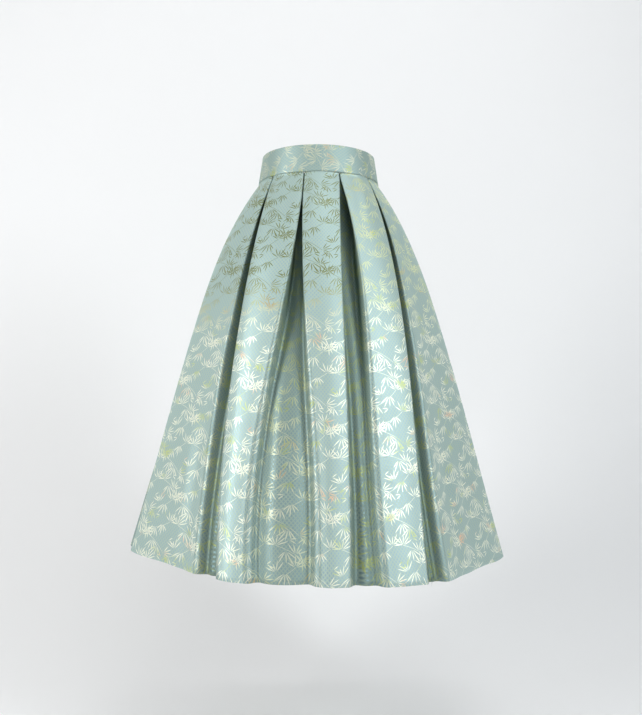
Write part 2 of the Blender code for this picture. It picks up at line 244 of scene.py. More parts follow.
BACK_LEFT = Quarter(
    facing=Facing.BACK,
    hand=Hand.LEFT,
    inner=Pleat(opening=(0.024, 0.044, 0.066), depth=(1.05, 1.05), soft=(2.4, 1.6)),
    outer=Pleat(opening=(0.014, 0.024, 0.036), depth=(1.00, 1.00), soft=(3.0, 1.8)),
    half_face=(0.034, 0.034, 0.033, 0.031),
    outer_face=(0.068, 0.073, 0.077, 0.080),
    flutes=(Flute(53.0, 10.0, 0.0120, 0.20), Flute(72.0, 8.0, 0.0080, 0.35)),
    creases=(
        Crease(0.016, 0.010, 0.190, 0.006, 0.018, 0.0010),
        Crease(0.012, 0.170, 0.330, 0.010, 0.022, -0.0010),
        Crease(0.064, -0.020, 0.140, 0.014, 0.018, -0.0009),
        Crease(0.104, 0.260, 0.640, 0.028, 0.042, 0.0018),
        Crease(0.160, 0.030, 0.260, 0.055, 0.030, 0.0018),
        Crease(0.225, 0.400, 0.750, 0.060, 0.058, 0.0036),
    ),
)
BACK_RIGHT = Quarter(
    facing=Facing.BACK,
    hand=Hand.RIGHT,
    inner=Pleat(opening=(0.022, 0.042, 0.060), depth=(1.00, 1.00), soft=(1.4, 3.0)),
    outer=Pleat(opening=(0.016, 0.026, 0.040), depth=(1.05, 1.05), soft=(2.2, 2.8)),
    half_face=(0.034, 0.035, 0.033, 0.031),
    outer_face=(0.068, 0.074, 0.078, 0.082),
    flutes=(Flute(60.0, 12.0, 0.0130, 0.25), Flute(46.0, 7.0, 0.0060, 0.45)),
    creases=(
        Crease(0.014, 0.030, 0.210, 0.004, 0.020, 0.0011),
        Crease(0.058, -0.020, 0.150, 0.018, 0.018, 0.0010),
        Crease(0.098, 0.200, 0.580, 0.030, 0.040, -0.0018),
        Crease(0.150, 0.040, 0.300, 0.060, 0.032, 0.0018),
        Crease(0.240, 0.430, 0.755, 0.040, 0.054, 0.0038),
        Crease(0.285, 0.520, 0.745, 0.010, 0.044, -0.0028),
    ),
)


@dataclass(frozen=True)
class SkirtBody:
    """The worn form that all the panels share: half sizes, drawn-in flanks and the shape of a pleat."""

    width: Spread = Spread(0.1198, 0.268, 0.0587, 0.125)
    depth: Spread = Spread(0.0998, 0.235, 0.0452, 0.160)
    seam_straight: float = 0.0040
    hem_tilt: float = 0.030
    top: float = -0.027 - SEAM_GAP
    flank_hollow: float = 0.092
    flank_hollow_drop: float = 0.30
    flank_corners: tuple[float, float] = (math.radians(51.0), math.radians(31.0))
    flank_power: float = 1.5
    face_crown: float = 0.0022
    crown_power: float = 1.5
    crest: float = 0.35
    edge_clearance: float = 0.0012
    soft_share: float = 0.85
    # painted shade in the pleats: the gain on how shut in the cloth is, at the waist and at the hem, then the
    # extra shade painted on the pleats' rounded edges, and the share of the length where that is full
    painted_shade_gain: tuple[float, float] = (0.45, 2.0)
    edge_shade: float = 0.07
    edge_shade_share: float = 0.5
    hem_wave: float = 0.0007
    hem_wave_start: float = 0.93
    hem_wave_pitch: float = 0.021
    hem_wave_drift: float = 9.0
    side_pleat: Pleat = Pleat(opening=(0.030, 0.058, 0.092), depth=(0.40, 1.00), soft=(2.5, 2.5))
    pleat_rows: tuple[tuple[float, ...], ...] = (
        # share, edge turn and lift to the middle in degrees, length to the inner fold, edge and fold radius
        (0.00, 180.0, 0.0, 0.0240, 0.0015, 0.0015),
        (0.03, 174.0, 0.0, 0.0250, 0.0016, 0.0017),
        (0.10, 132.0, 0.0, 0.0290, 0.0019, 0.0026),
        (0.20, 104.0, 2.0, 0.0300, 0.0022, 0.0040),
        (0.35, 88.0, 10.0, 0.0240, 0.0027, 0.0055),
        (0.55, 74.0, 17.0, 0.0160, 0.0034, 0.0066),
        (0.80, 63.0, 20.0, 0.0125, 0.0042, 0.0074),
        (1.00, 57.0, 20.0, 0.0115, 0.0048, 0.0080),
    )
    # columns of points: on an arc, a straight run, up to a pleat's middle, half a face, a face, the flank
    arc_steps: int = 7
    run_steps: int = 3
    crest_steps: int = 5
    half_face_columns: int = 9
    face_columns: int = 17
    flank_columns: int = 30
    curve_samples: int = 361
    tangent_step: float = 0.002

    def curve(self, drop: float, quarter: Quarter) -> tuple[np.ndarray, np.ndarray]:
        """The plain body of one quarter at a level.

        Args:
            drop: how far below the straight stretch at the waist seam the level is.
            quarter: the quarter, for its flutes.

        Returns:
            Arc lengths from the middle and the points there, worked out for the front on the left.
        """
        share = drop / SKIRT_LENGTH
        angle = np.linspace(0.0, math.pi / 2, self.curve_samples)
        radius = 1.0 / np.hypot(np.sin(angle) / self.width.at(drop), np.cos(angle) / self.depth.at(drop))
        corner = between(self.flank_corners, math.sqrt(max(share, 0.0)))
        along = np.clip((angle - corner) / (math.pi / 2 - corner), 0.0, 1.0)
        hollow = self.flank_hollow * float(ease(drop / self.flank_hollow_drop))
        radius = radius * (1.0 - hollow * np.sin(math.pi * along) ** self.flank_power)
        for flute in quarter.flutes:
            away = (np.degrees(angle) - flute.angle) / flute.half_width
            growth = float(ease((share - flute.begins) / (1.0 - flute.begins)))
            radius = radius - flute.depth * growth * np.exp(-away * away) * np.sin(math.pi * along)
        points = np.stack([radius * np.sin(angle), -radius * np.cos(angle)], axis=1)
        return run_along(points), points

    def keys(self, share: float) -> tuple[float, float, float, float, float]:
        """Edge turn, lift, length to the inner fold, edge radius and fold radius at a share of the length."""
        rows = np.array(self.pleat_rows)
        turn, lift, run, edge, fold = (smooth_read(share, rows[:, 0], rows[:, k]) for k in range(1, 6))
        return math.radians(min(turn, 180.0)), math.radians(max(lift, 0.0)), run, edge, fold

    def pleat_half(self, pleat: Pleat, share: float, soft: float) -> np.ndarray:
        """Half a pleat from the face to its middle.

        Args:
            pleat: the pleat.
            share: the level's share of the length.
            soft: how many times rounder this half's edge is by the hem.

        Returns:
            Rows of (distance from the pleat's middle, depth, painted shade), the last one in the middle.
        """
        turn, lift, run, edge, fold = self.keys(share)
        grown = edge * (soft - 1.0) * float(ease(share / self.soft_share))
        edge = edge + grown
        run = run * between(pleat.depth, share) - (grown * math.tan(turn / 2) if grown > 0.0 else 0.0)
        across = max(pleat.width(share) / 2, self.edge_clearance) + edge
        bent = turn * np.linspace(0.0, 1.0, self.arc_steps + 1)
        arc = np.stack([across - edge * np.sin(bent), edge * (1.0 - np.cos(bent))], axis=1)
        ahead = np.linspace(0.0, run, self.run_steps + 1)[1:]
        straight = arc[-1] + np.stack([-ahead * math.cos(turn), ahead * math.sin(turn)], axis=1)
        across, depth = straight[-1]
        inward = math.sin(turn) + math.sin(lift)
        if fold * inward > across - self.edge_clearance:
            fold = (across - self.edge_clearance) / inward
        bent = turn - (turn + lift) * np.linspace(0.0, 1.0, self.arc_steps + 1)[1:]
        nearer, deeper = fold * (math.sin(turn) - np.sin(bent)), fold * (np.cos(bent) - math.cos(turn))
        inner = np.stack([across - nearer, depth + deeper], axis=1)
        across, depth = inner[-1]
        crest = depth - across * (1.0 - self.crest) * math.tan(lift)
        reach = np.linspace(across, 0.0, self.crest_steps + 1)[1:]
        bend = 2.0 * self.crest * across
        rise = np.where(reach > bend, reach - bend / 2, reach * reach / (2.0 * bend)) * math.tan(lift)
        middle = np.stack([reach, crest + rise], axis=1)
        half = np.concatenate([arc, straight, inner, middle])
        opening = max(pleat.width(share), 2.0 * self.edge_clearance)
        # painted shade: light would reach less far into a deep, narrow pleat, so the shade grows with the
        # depth against the opening
        narrow = half[:, 1] / opening * between(self.painted_shade_gain, share)
        shut = 1.0 - (np.hypot(1.0, narrow) - narrow)
        # more painted shade on the rounded edge, which dulls its highlight lower down
        rounded = slice(1, self.arc_steps + 1)
        shut[rounded] += self.edge_shade * float(ease(share / self.edge_shade_share)) * (1.0 - shut[rounded])
        return np.column_stack([half, shut])

    def pleat_points(self, centre: float, pleat: Pleat, share: float) -> np.ndarray:
        """A whole pleat's points as (arc, depth, painted shade), in the order that the section runs."""
        before, after = (self.pleat_half(pleat, share, soft) for soft in pleat.soft)
        middle = (before[-1, 1] + after[-1, 1]) / 2
        for half in (before, after):
            inner = half[-self.crest_steps - 1, 0]
            near = np.clip(1.0 - half[-self.crest_steps:, 0] / inner, 0.0, 1.0)
            half[-self.crest_steps:, 1] += (middle - half[-1, 1]) * near * near
            half[-1, 1] = middle
        before[:, 0] = centre - before[:, 0]
        after[:, 0] = centre + after[:, 0]
        return np.concatenate([before, after[-2::-1]])

    def crowned(self, start: float, end: float, count: int, first: float = -1.0) -> np.ndarray:
        """Points across a face, without its ends, as (arc, depth, 0): it swells towards its middle.

        Args:
            start: arc of the first end.
            end: arc of the last end.
            count: how many points.
            first: -1 to start at the face's edge, 0 to start in its middle.

        Returns:
            The points, with both ends left out where it starts at the edge, and the last where it doesn't.
        """
        place = np.linspace(first, 1.0, count + (2 if first < 0 else 1))[1 if first < 0 else 0:-1]
        arcs = start + (end - start) * (place - first) / (1.0 - first)
        swell = -self.face_crown * (1.0 - place * place) ** self.crown_power
        return np.column_stack([arcs, swell, np.zeros_like(arcs)])

    def controls(self, drop: float, quarter: Quarter, side_arc: float) -> np.ndarray:
        """Points of one quarter's section from its middle to the side seam, as (arc, depth, painted shade).
        """
        share = drop / SKIRT_LENGTH
        half_face = width_at(quarter.half_face, share)
        width = quarter.inner.width(share)
        inner = self.pleat_points(half_face + width / 2, quarter.inner, share)
        face_start, face = half_face + width, width_at(quarter.outer_face, share)
        width = quarter.outer.width(share)
        flank_start = face_start + face + width
        outer = self.pleat_points(flank_start - width / 2, quarter.outer, share)
        side = self.pleat_half(self.side_pleat, share, self.side_pleat.soft[0])
        side[:, 0] = side_arc - side[:, 0]
        flank = np.linspace(outer[-1, 0], side[0, 0], self.flank_columns + 2)[1:-1]
        return np.concatenate([
            self.crowned(0.0, inner[0, 0], self.half_face_columns, first=0.0),
            inner,
            self.crowned(inner[-1, 0], outer[0, 0], self.face_columns),
            outer,
            np.column_stack([flank, np.zeros_like(flank), np.zeros_like(flank)]),
            side,
        ])

    def section(self, drop: float, quarter: Quarter, middle_gap: float) -> np.ndarray:
        """One quarter at a level, from the middle of the front or back to the side seam.

        Args:
            drop: the level's drop below the waist seam.
            quarter: the quarter.
            middle_gap: how far from the middle plane it starts.

        Returns:
            The points, with what the creases add, each with the shade painted on it and its share of the
            length.
        """
        below = max(drop - self.seam_straight, 0.0)
        arcs, curve = self.curve(below, quarter)
        controls = self.controls(below, quarter, float(arcs[-1]))
        arc, depth = controls[:, 0], controls[:, 1].copy()
        for crease in quarter.creases:
            depth += crease.offset(arc, drop)
        point, ahead, behind = (
            np.stack([np.interp(arc + step, arcs, curve[:, k]) for k in range(2)], axis=1)
            for step in (0.0, self.tangent_step, -self.tangent_step)
        )
        along = (ahead - behind) / np.linalg.norm(ahead - behind, axis=1, keepdims=True)
        plane = point + np.stack([-along[:, 1], along[:, 0]], axis=1) * depth[:, None]
        plane[0, 0] = middle_gap
        plane[-1, 1] = -SEAM_GAP / 2
        x = plane[:, 0] * quarter.hand.value
        z = self.top - drop - self.hem_tilt * below / SKIRT_LENGTH * x
        share = below / SKIRT_LENGTH
        wave = np.sin(arc / self.hem_wave_pitch + x * self.hem_wave_drift)
        z += self.hem_wave * wave * ease((share - self.hem_wave_start) / (1.0 - self.hem_wave_start))
        level = np.full_like(x, share)
        return np.column_stack([x, plane[:, 1] * quarter.facing.value, z, controls[:, 2], level])


def unroll(points: np.ndarray, formed: int, middle: int) -> np.ndarray:
    """Where each point of a formed panel lies in its flat cut.

    In the cut every column is a straight line, so its distance from the middle is fitted as a straight line
    against the way down. The grain turns with the flare.

    Args:
        points: rows of points, from the top down.
        formed: how many of the rows come before the hem's turning.
        middle: the column that stays straight up and down in the cut.

    Returns:
        The cut's (across, up) for each point, in metres.
    """
    steps = np.linalg.norm(np.diff(points, axis=1), axis=2)
    down = run_along(points[:, middle])
    slope, start = np.polyfit(down[:formed], steps[:formed], 1)
    fitted = np.maximum(start + slope * down[:, None], NARROWEST * steps)
    flare = np.concatenate([[0.0], np.cumsum(slope)])
    flare = np.arctan(flare - flare[middle])
    turn = (flare[1:] + flare[:-1]) / 2
    blank = np.zeros((len(points), 1))
    across = np.concatenate([blank, np.cumsum(fitted * np.cos(turn), axis=1)], axis=1)
    rise = np.concatenate([blank, np.cumsum(fitted * np.sin(turn), axis=1)], axis=1)
    across -= across[:, middle:middle + 1]
    rise -= rise[:, middle:middle + 1]
    return np.stack([across, rise - down[:, None]], axis=2)


def placed(name: str, data: bpy.types.ID) -> bpy.types.Object:
    """A new object in the scene, from its mesh, camera or light."""
    made = bpy.data.objects.new(name, data)
    bpy.context.scene.collection.objects.link(made)
    return made


def sheet_mesh(
    name: str, points: np.ndarray, cut: np.ndarray, thickness: float, fold: np.ndarray | None = None
) -> bpy.types.Object:
    """A thin wall of cloth from a grid of points.

    Args:
        name: the object's name.
        points: rows of points, each running clockwise seen from above, from the top down.
        cut: where each point lies in the flat cut.
        thickness: of the cloth, put on evenly to both sides.
        fold: how much shade is painted on each point, and its share of the length.

    Returns:
        The object, with its Solidify modifier live.
    """
    rows, columns = points.shape[:2]
    index = np.arange(rows * columns).reshape(rows, columns)
    corners = [index[:-1, :-1], index[1:, :-1], index[1:, 1:], index[:-1, 1:]]
    faces = np.stack([corner.ravel() for corner in corners], axis=1)
    mesh = bpy.data.meshes.new(name)
    mesh.from_pydata(points.reshape(-1, 3).tolist(), [], faces.tolist())
    for label, values in ((CUT, cut), (PAINTED_SHADE_AND_LEVEL, np.zeros_like(cut) if fold is None else fold)):
        places = mesh.attributes.new(label, "FLOAT_VECTOR", "POINT")
        flat = np.zeros((rows * columns, 3))
        flat[:, :2] = values.reshape(-1, 2)
        places.data.foreach_set("vector", flat.ravel())
    mesh.shade_smooth()
    piece = placed(name, mesh)
    wall = piece.modifiers.new("cloth", "SOLIDIFY")
    wall.thickness = thickness
    wall.offset = 0.0
    wall.use_even_offset = True
    wall.material_offset = 1
    wall.material_offset_rim = 0
    return piece


@dataclass(frozen=True)
class SkirtPanel:
    """A panel of the skirt: the front, or half of the back. Its hem is turned up inside and its seams in."""

    node: str
    quarters: tuple[Quarter, ...]
    middle_gap: float
    cut_origin: tuple[float, float]
    body: SkirtBody = SkirtBody()
    rows: int = 118
    crowding: float = 1.12
    thickness: float = 0.0008
    hem_allowance: float = 0.034
    hem_rows: int = 5
    hem_roll: float = 0.0008
    seam_roll: float = 0.00045
    seam_columns: int = 3
    drawn_up: int = 7
    flank_start: float = 0.27
    flank_stretch: float = 0.28

    def drops(self) -> list[float]:
        """Drops of the rows from the waist seam to the hem's fold."""
        straight = self.body.seam_straight
        length = SKIRT_LENGTH - straight - self.hem_roll
        below = [length * (k / (self.rows - 3)) ** self.crowding for k in range(self.rows - 2)]
        return [0.0, straight / 2] + [straight + drop for drop in below]

    def formed_row(self, drop: float) -> np.ndarray:
        """The panel's points at a level, from the wearer's right to the left on the front."""
        if len(self.quarters) == 2:
            right, left = (self.body.section(drop, quarter, 0.0) for quarter in self.quarters)
            return np.concatenate([right[::-1], left[1:]])
        row = self.body.section(drop, self.quarters[0], self.middle_gap)
        return row[::-1] if self.quarters[0].hand is Hand.LEFT else row

    def inward(self, row: np.ndarray) -> np.ndarray:
        """The direction into the garment at each point of a row."""
        along = np.gradient(row[:, :2], axis=0)
        along /= np.linalg.norm(along, axis=1, keepdims=True)
        return np.column_stack([-along[:, 1], along[:, 0], np.zeros(len(row))])

    def turned_up(self, rows: np.ndarray) -> np.ndarray:
        """Adds the hem: the cloth rolls in at the foot and runs back up inside."""
        inward = self.inward(rows[-1])
        added = []
        for turn in ROLL_TURNS:
            row = rows[-1].copy()
            row[:, :3] += inward * self.hem_roll * (1.0 - math.cos(turn))
            row[:, 2] -= self.hem_roll * math.sin(turn)
            added.append(row)
        drops = self.drops()
        for k in range(1, self.hem_rows + 1):
            back = self.hem_allowance * k / self.hem_rows
            level = np.interp(drops[-1] - back, drops, range(len(drops)))
            low = int(level)
            row = rows[low] + (rows[min(low + 1, len(rows) - 1)] - rows[low]) * (level - low)
            row[:, :3] += inward * self.hem_roll * 2.0
            added.append(row)
        return np.concatenate([rows, np.array(added)])

    def turned_in(self, row: np.ndarray) -> np.ndarray:
        """Adds the seam allowance at the middle back: the cloth rolls in there and runs back inside."""
        if len(self.quarters) == 2:
            return row
        order = slice(None, None, -1 if self.quarters[0].hand is Hand.LEFT else 1)
        cloth, into = row[order].copy(), self.inward(row)[order]
        near = cloth[:self.drawn_up]
        away = run_along(near[:, :3])
        inset = self.seam_roll + self.thickness / 2
        moved = inset + away * (away[-1] - inset) / away[-1]
        cloth[:self.drawn_up] = np.stack([np.interp(moved, away, column) for column in near.T], axis=1)
        out = cloth[0, :3] - cloth[1, :3]
        out /= np.linalg.norm(out)
        added = []
        for turn in ROLL_TURNS:
            point = cloth[0].copy()
            point[:3] += out * self.seam_roll * math.sin(turn)
            point[:3] += into[0] * self.seam_roll * (1.0 - math.cos(turn))
            added.append(point)
        for k in range(1, self.seam_columns + 1):
            point = cloth[k].copy()
            point[:3] += into[k] * self.seam_roll * 2.0
            added.append(point)
        return np.concatenate([np.array(added)[::-1], cloth])[order]

    def build(self) -> bpy.types.Object:
        formed = np.array([self.formed_row(drop) for drop in self.drops()])
        grid = np.array([self.turned_in(row) for row in self.turned_up(formed)])
        # with each point come the shade painted on it and its share of the length
        points, fold = grid[..., :3], grid[..., 3:]
        middle = points.shape[1] // 2
        if len(self.quarters) == 1:
            edge = self.seam_columns + len(ROLL_TURNS)
            middle = points.shape[1] - 1 - edge if self.quarters[0].hand is Hand.LEFT else edge
        cut = unroll(points, len(formed), middle)
        pattern = cut.copy()
        beyond = np.maximum(np.abs(cut[..., 0]) - self.flank_start, 0.0)
        pattern[..., 0] -= np.sign(cut[..., 0]) * beyond * self.flank_stretch
        piece = sheet_mesh(self.node + "_cloth", points, pattern + self.cut_origin, self.thickness, fold)
        return piece


@dataclass(frozen=True)
class Band:
    """The waistband: one strip folded lengthwise, its fold at the top, closed by the zip at the back."""

    height: float = 0.054
    thickness: float = 0.0025
    cloth: float = 0.0006
    top: tuple[float, float] = (0.1115, 0.0940)
    foot: tuple[float, float] = (0.1195, 0.1000)
    slit: float = 0.0010
    columns: int = 288
    face_rows: int = 16
    turn_steps: int = 6
    foot_roll: float = 0.0009
    allowance: float = 0.008
    # painted shade: the share of the length that sets the painted shade on the band's leaves, and the shade
    # painted all over the band, which darkens it in place of a duller sheen
    level: float = 0.40
    band_shade: float = 0.06
    cut_place: float = 0.6
    waves: tuple[tuple[int, float, float], ...] = ((17, 0.6, 0.5), (29, 2.1, 0.3), (11, 4.0, 0.4))
    wave_height: float = 0.00022

    def half_sizes(self, share: float) -> tuple[float, float]:
        """Half width and half depth of the middle of the wall, share 0 at its foot and 1 at its top."""
        return between((self.foot[0], self.top[0]), share), between((self.foot[1], self.top[1]), share)

    def profile(self) -> np.ndarray:
        """The folded strip's section as rows of (height share, offset outwards)."""
        out = (self.thickness - self.cloth) / 2
        straight, roll = 1.0 - out / self.height, self.foot_roll
        turns = np.linspace(0.0, math.pi / 2, 4)[1:-1]
        inner = [(self.allowance / self.height, out - roll), (roll / self.height, out - roll)]
        foot = [(roll * (1.0 - math.sin(turn)) / self.height, out - roll * math.cos(turn)) for turn in turns]
        down = inner + foot + [(share, out) for share in np.linspace(0.0, straight, self.face_rows)]
        turns = np.linspace(0.0, math.pi, self.turn_steps + 2)[1:-1]
        over = [(straight + out / self.height * math.sin(turn), out * math.cos(turn)) for turn in turns]
        up = [(share, -out) for share in np.linspace(straight, 0.0, self.face_rows)]
        return np.array(down + over + up)

    def ripple(self, turn: np.ndarray, share: float) -> np.ndarray:
        """Faint upright waves where the interfacing lets the band's face breathe.

        Each wave is given by how many go round, its phase and its weight.
        """
        wave = sum(weight * np.sin(count * turn + phase) for count, phase, weight in self.waves)
        return self.wave_height * wave * math.sin(math.pi * min(max(share, 0.0), 1.0))

    def build(self) -> bpy.types.Object:
        """Makes the band's mesh, with its places in the flat cut."""
        slit = math.asin(self.slit / 2 / self.foot[0])
        turn = np.linspace(slit, 2 * math.pi - slit, self.columns + 1) + math.pi
        profile = self.profile()
        runs = run_along(profile * (self.height, 1.0))
        middle = (self.foot[0] + self.foot[1]) / 2
        rows, cut = [], []
        for (share, out), run in zip(profile, runs):
            width, depth = self.half_sizes(share)
            swell = out + self.ripple(turn, share) * (1.0 if out > 0 else -1.0)
            x, y = (width + swell) * np.sin(turn), -(depth + swell) * np.cos(turn)
            rows.append(np.stack([x, y, np.full_like(x, self.height * (share - 0.5))], axis=1))
            round_it = (turn - 2 * math.pi) * middle + self.cut_place
            cut.append(np.stack([np.full_like(x, run), round_it], axis=1))
        points, flat = np.array(rows)[::-1, ::-1], np.array(cut)[::-1, ::-1]
        # every point of the band carries the same painted shade and share of the length
        plain = np.stack([np.full(flat.shape[:2], self.band_shade), np.full(flat.shape[:2], self.level)], axis=2)
        piece = sheet_mesh("waistband_cloth", points, flat, self.cloth, plain)
        return piece


def take_up(*pieces: bpy.types.Object) -> None:
    """Selects these pieces and nothing else, so that an operator acts on them alone, the last one active."""
    bpy.ops.object.select_all(action="DESELECT")
    for piece in pieces:
        piece.select_set(True)
        bpy.context.view_layer.objects.active = piece


def just_added() -> bpy.types.Object:
    """The primitive that was just added, with its place, turn and size put in its mesh."""
    bpy.ops.object.transform_apply(location=True, rotation=True, scale=True)
    return bpy.context.object


def pick(piece: bpy.types.Object, test: Callable[[Vector, Vector, int], bool], faces: bool = False) -> None:
    """Selects a piece's points or faces in edit mode.

    Args:
        piece: the piece, in edit mode.
        test: says of a part's place, normal and number whether it is selected.
        faces: whether faces are picked, by their middles, and not points.
    """
    bpy.ops.mesh.select_all(action="DESELECT")
    made = bmesh.from_edit_mesh(piece.data)
    for part in made.faces if faces else made.verts:
        place = part.calc_center_median() if faces else part.co
        if test(place, part.normal, part.index):
            part.select_set(True)
    made.select_flush_mode()
    bmesh.update_edit_mesh(piece.data)


def apply_modifier(piece: bpy.types.Object, kind: str, **settings: object) -> None:
    """Adds a modifier to a piece, sets it and applies it."""
    modifier = piece.modifiers.new(kind.lower(), kind)
    for name, value in settings.items():
        setattr(modifier, name, value)
    bpy.ops.object.modifier_apply(modifier=modifier.name)


@dataclass(frozen=True)
class Zip:
    """The concealed zip in the middle back: tape and teeth behind the slit, slider and pull tab at the top.

    The slider and the pull tab are modelled in a frame of their own: Y out of the cloth and Z up the band.
    """

    band: Band = Band()
    body: SkirtBody = SkirtBody()
    below_band_top: float = 0.0030
    slider_gap: float = 0.00036
    slider_size: tuple[float, float, float] = (0.0070, 0.0022, 0.0100)
    slider_taper: tuple[tuple[float, float], ...] = ((-0.10, 0.92), (-0.30, 0.8096), (-0.48, 0.74))
    slider_corner: float = 0.4
    slider_shoulder: float = 0.10
    slider_rim: float = 0.0008
    slider_dish: float = 0.0002
    slider_rounding: float = 0.0004
    bail_span: float = 0.0060
    bail_reach: float = 0.0022
    bail_root: float = 0.0006
    bail_radius: float = 0.0005
    pull_out: float = 0.0009
    pull_half_width: float = 0.0031
    neck_half_width: float = 0.0021
    pull_length: float = 0.0220
    pull_thickness: float = 0.0010
    bar: float = 0.0010
    eye_length: float = 0.0042
    eye_half_width: float = 0.0010
    pull_rim: float = 0.0006
    pull_recess: float = 0.0002
    pull_rounding: float = 0.00022
    pull_tip: float = 0.35
    recess_from_eye: float = 0.0015
    eye_levels: int = 4
    blade_levels: int = 11
    smooth_below: float = math.radians(40.0)
    tape_half_width: float = 0.0120
    tape_thickness: float = 0.0005
    tape_inside: float = 0.0017
    tape_goes_in: tuple[float, float] = (0.012, 0.032)
    tape_bend: float = 0.9
    tape_from_top: float = 0.008
    tape_past_teeth: float = 0.020
    tape_step: float = 0.004
    tape_columns: int = 9
    tape_cut_place: float = 0.3
    length_in_skirt: float = 0.170
    line_levels: int = 40
    teeth_from_top: float = 0.010
    tooth_pitch: float = 0.00115
    tooth_size: tuple[float, float, float] = (0.0019, 0.0008, 0.0007)
    tooth_inside: float = 0.0006

    def place(self) -> Matrix:
        """The frame that the slider and the pull tab are modelled in."""
        centre = self.band.height / 2 - self.below_band_top - self.slider_size[2] / 2
        slope = math.atan((self.band.foot[1] - self.band.top[1]) / self.band.height)
        wall = self.band.half_sizes(centre / self.band.height + 0.5)[1]
        out = wall + self.band.thickness / 2 / math.cos(slope) + self.slider_gap
        return Matrix.Translation((0.0, out, centre)) @ Matrix.Rotation(slope, 4, "X")

    def line(self, top: float, foot: float, step: float) -> np.ndarray:
        """Evenly spaced points down the middle back, on the wall's middle surface.

        Args:
            top: height of the first point above the waist seam.
            foot: drop of the last point below the waist seam.
            step: the spacing, about.

        Returns:
            Rows of (y, z, distance from the start).
        """
        band = self.band
        shares = (top / band.height, 0.0)
        marks = [(band.half_sizes(share)[1], band.height * (share - 0.5)) for share in shares]
        for drop in np.linspace(self.body.seam_straight, foot, self.line_levels):
            _, y, z = self.body.section(float(drop), BACK_LEFT, 0.0)[0, :3]
            marks.append((float(y), float(z)))
        marks = np.array(marks)
        run = run_along(marks)
        at = np.linspace(0.0, run[-1], max(int(run[-1] / step), 2))
        return np.column_stack([np.interp(at, run, marks[:, 0]), np.interp(at, run, marks[:, 1]), at])

    def tape(self) -> bpy.types.Object:
        """The woven tape behind the slit: in the band it lies in the fold, and below it on the inside."""
        rows, cut = [], []
        top, foot = self.band.height - self.tape_from_top, self.length_in_skirt + self.tape_past_teeth
        across = np.linspace(self.tape_half_width, -self.tape_half_width, self.tape_columns)
        for y, z, run in self.line(top, foot, self.tape_step):
            share = (-z - self.tape_goes_in[0]) / (self.tape_goes_in[1] - self.tape_goes_in[0])
            inside = self.tape_inside * float(ease(share))
            bend = (y - np.sqrt(y * y - across * across)) * self.tape_bend
            rows.append(np.stack([across, y - inside - bend, np.full_like(across, z)], axis=1))
            cut.append(np.stack([across + self.tape_cut_place, np.full_like(across, -run)], axis=1))
        piece = sheet_mesh("zip_tape", np.array(rows), np.array(cut), self.tape_thickness)
        return piece

    def teeth(self) -> bpy.types.Object:
        """The nylon coil in the slit: one loop modelled, and copied down the zip in one mesh."""
        take_up()
        bpy.ops.mesh.primitive_uv_sphere_add(
            segments=8, ring_count=6, radius=0.5, rotation=(0.0, math.pi / 2, 0.0),
        )
        bpy.context.object.scale = self.tooth_size[::-1]
        tooth = just_added()
        points = np.array([vertex.co[:] for vertex in tooth.data.vertices])
        faces = [tuple(face.vertices) for face in tooth.data.polygons]
        bpy.data.objects.remove(tooth, do_unlink=True)
        spots = self.line(self.band.height - self.teeth_from_top, self.length_in_skirt, self.tooth_pitch)
        every, links = [], []
        for k, (y, z, _) in enumerate(spots):
            every.append(points + np.array([0.0, y - self.tooth_inside, z]))
            links += [tuple(index + k * len(points) for index in face) for face in faces]
        mesh = bpy.data.meshes.new("zip_teeth")
        mesh.from_pydata(np.concatenate(every).tolist(), [], links)
        mesh.shade_smooth()
        return placed("zip_teeth", mesh)

    def slider(self) -> bpy.types.Object:
        """The slider: a tapered body with a shallow dished face, and the bail that holds the pull."""
        wide, thick, tall = self.slider_size
        take_up()
        bpy.ops.mesh.primitive_cube_add(size=1.0, location=(0.0, thick / 2, 0.0), scale=self.slider_size)
        piece = just_added()
        bpy.ops.object.mode_set(mode="EDIT")
        bpy.ops.mesh.subdivide(number_cuts=3)
        centre, above, corner = (0.0, thick / 2, 0.0), 1.0, self.slider_corner
        for level, width in self.slider_taper:
            pick(piece, lambda at, _, __: at.z < level * tall)
            bpy.ops.transform.resize(value=(width / above, 1.0, 1.0), center_override=centre)
            above = width
        pick(piece, lambda at, _, __: at.z > corner * tall and abs(at.x) > corner * wide)
        bpy.ops.transform.translate(value=(0.0, 0.0, -self.slider_shoulder * tall))
        pick(piece, lambda _, normal, __: normal.y > FACES_OUT, faces=True)
        bpy.ops.mesh.inset(thickness=self.slider_rim, depth=-self.slider_dish)
        bpy.ops.object.mode_set(mode="OBJECT")
        apply_modifier(piece, "BEVEL", width=self.slider_rounding, segments=3, limit_method="ANGLE")
        root = thick - self.bail_root
        radius = self.bail_span / 2
        take_up()
        bpy.ops.mesh.primitive_torus_add(
            location=(0.0, root, 0.0), rotation=(0.0, math.pi / 2, 0.0), major_segments=36, minor_segments=12,
            major_radius=radius, minor_radius=self.bail_radius,
        )
        bail = just_added()
        bpy.ops.object.mode_set(mode="EDIT")
        bpy.ops.mesh.select_all(action="SELECT")
        bpy.ops.mesh.bisect(
            plane_co=(0.0, root, 0.0), plane_no=(0.0, 1.0, 0.0), clear_inner=True, use_fill=True,
        )
        bpy.ops.mesh.select_all(action="SELECT")
        reach = (self.bail_reach + self.bail_root) / radius
        bpy.ops.transform.resize(value=(1.0, reach, 1.0), center_override=(0.0, root, 0.0))
        bpy.ops.object.mode_set(mode="OBJECT")
        take_up(bail, piece)
        bpy.ops.object.join()
        return self.settled(piece, "zip_slider_metal")

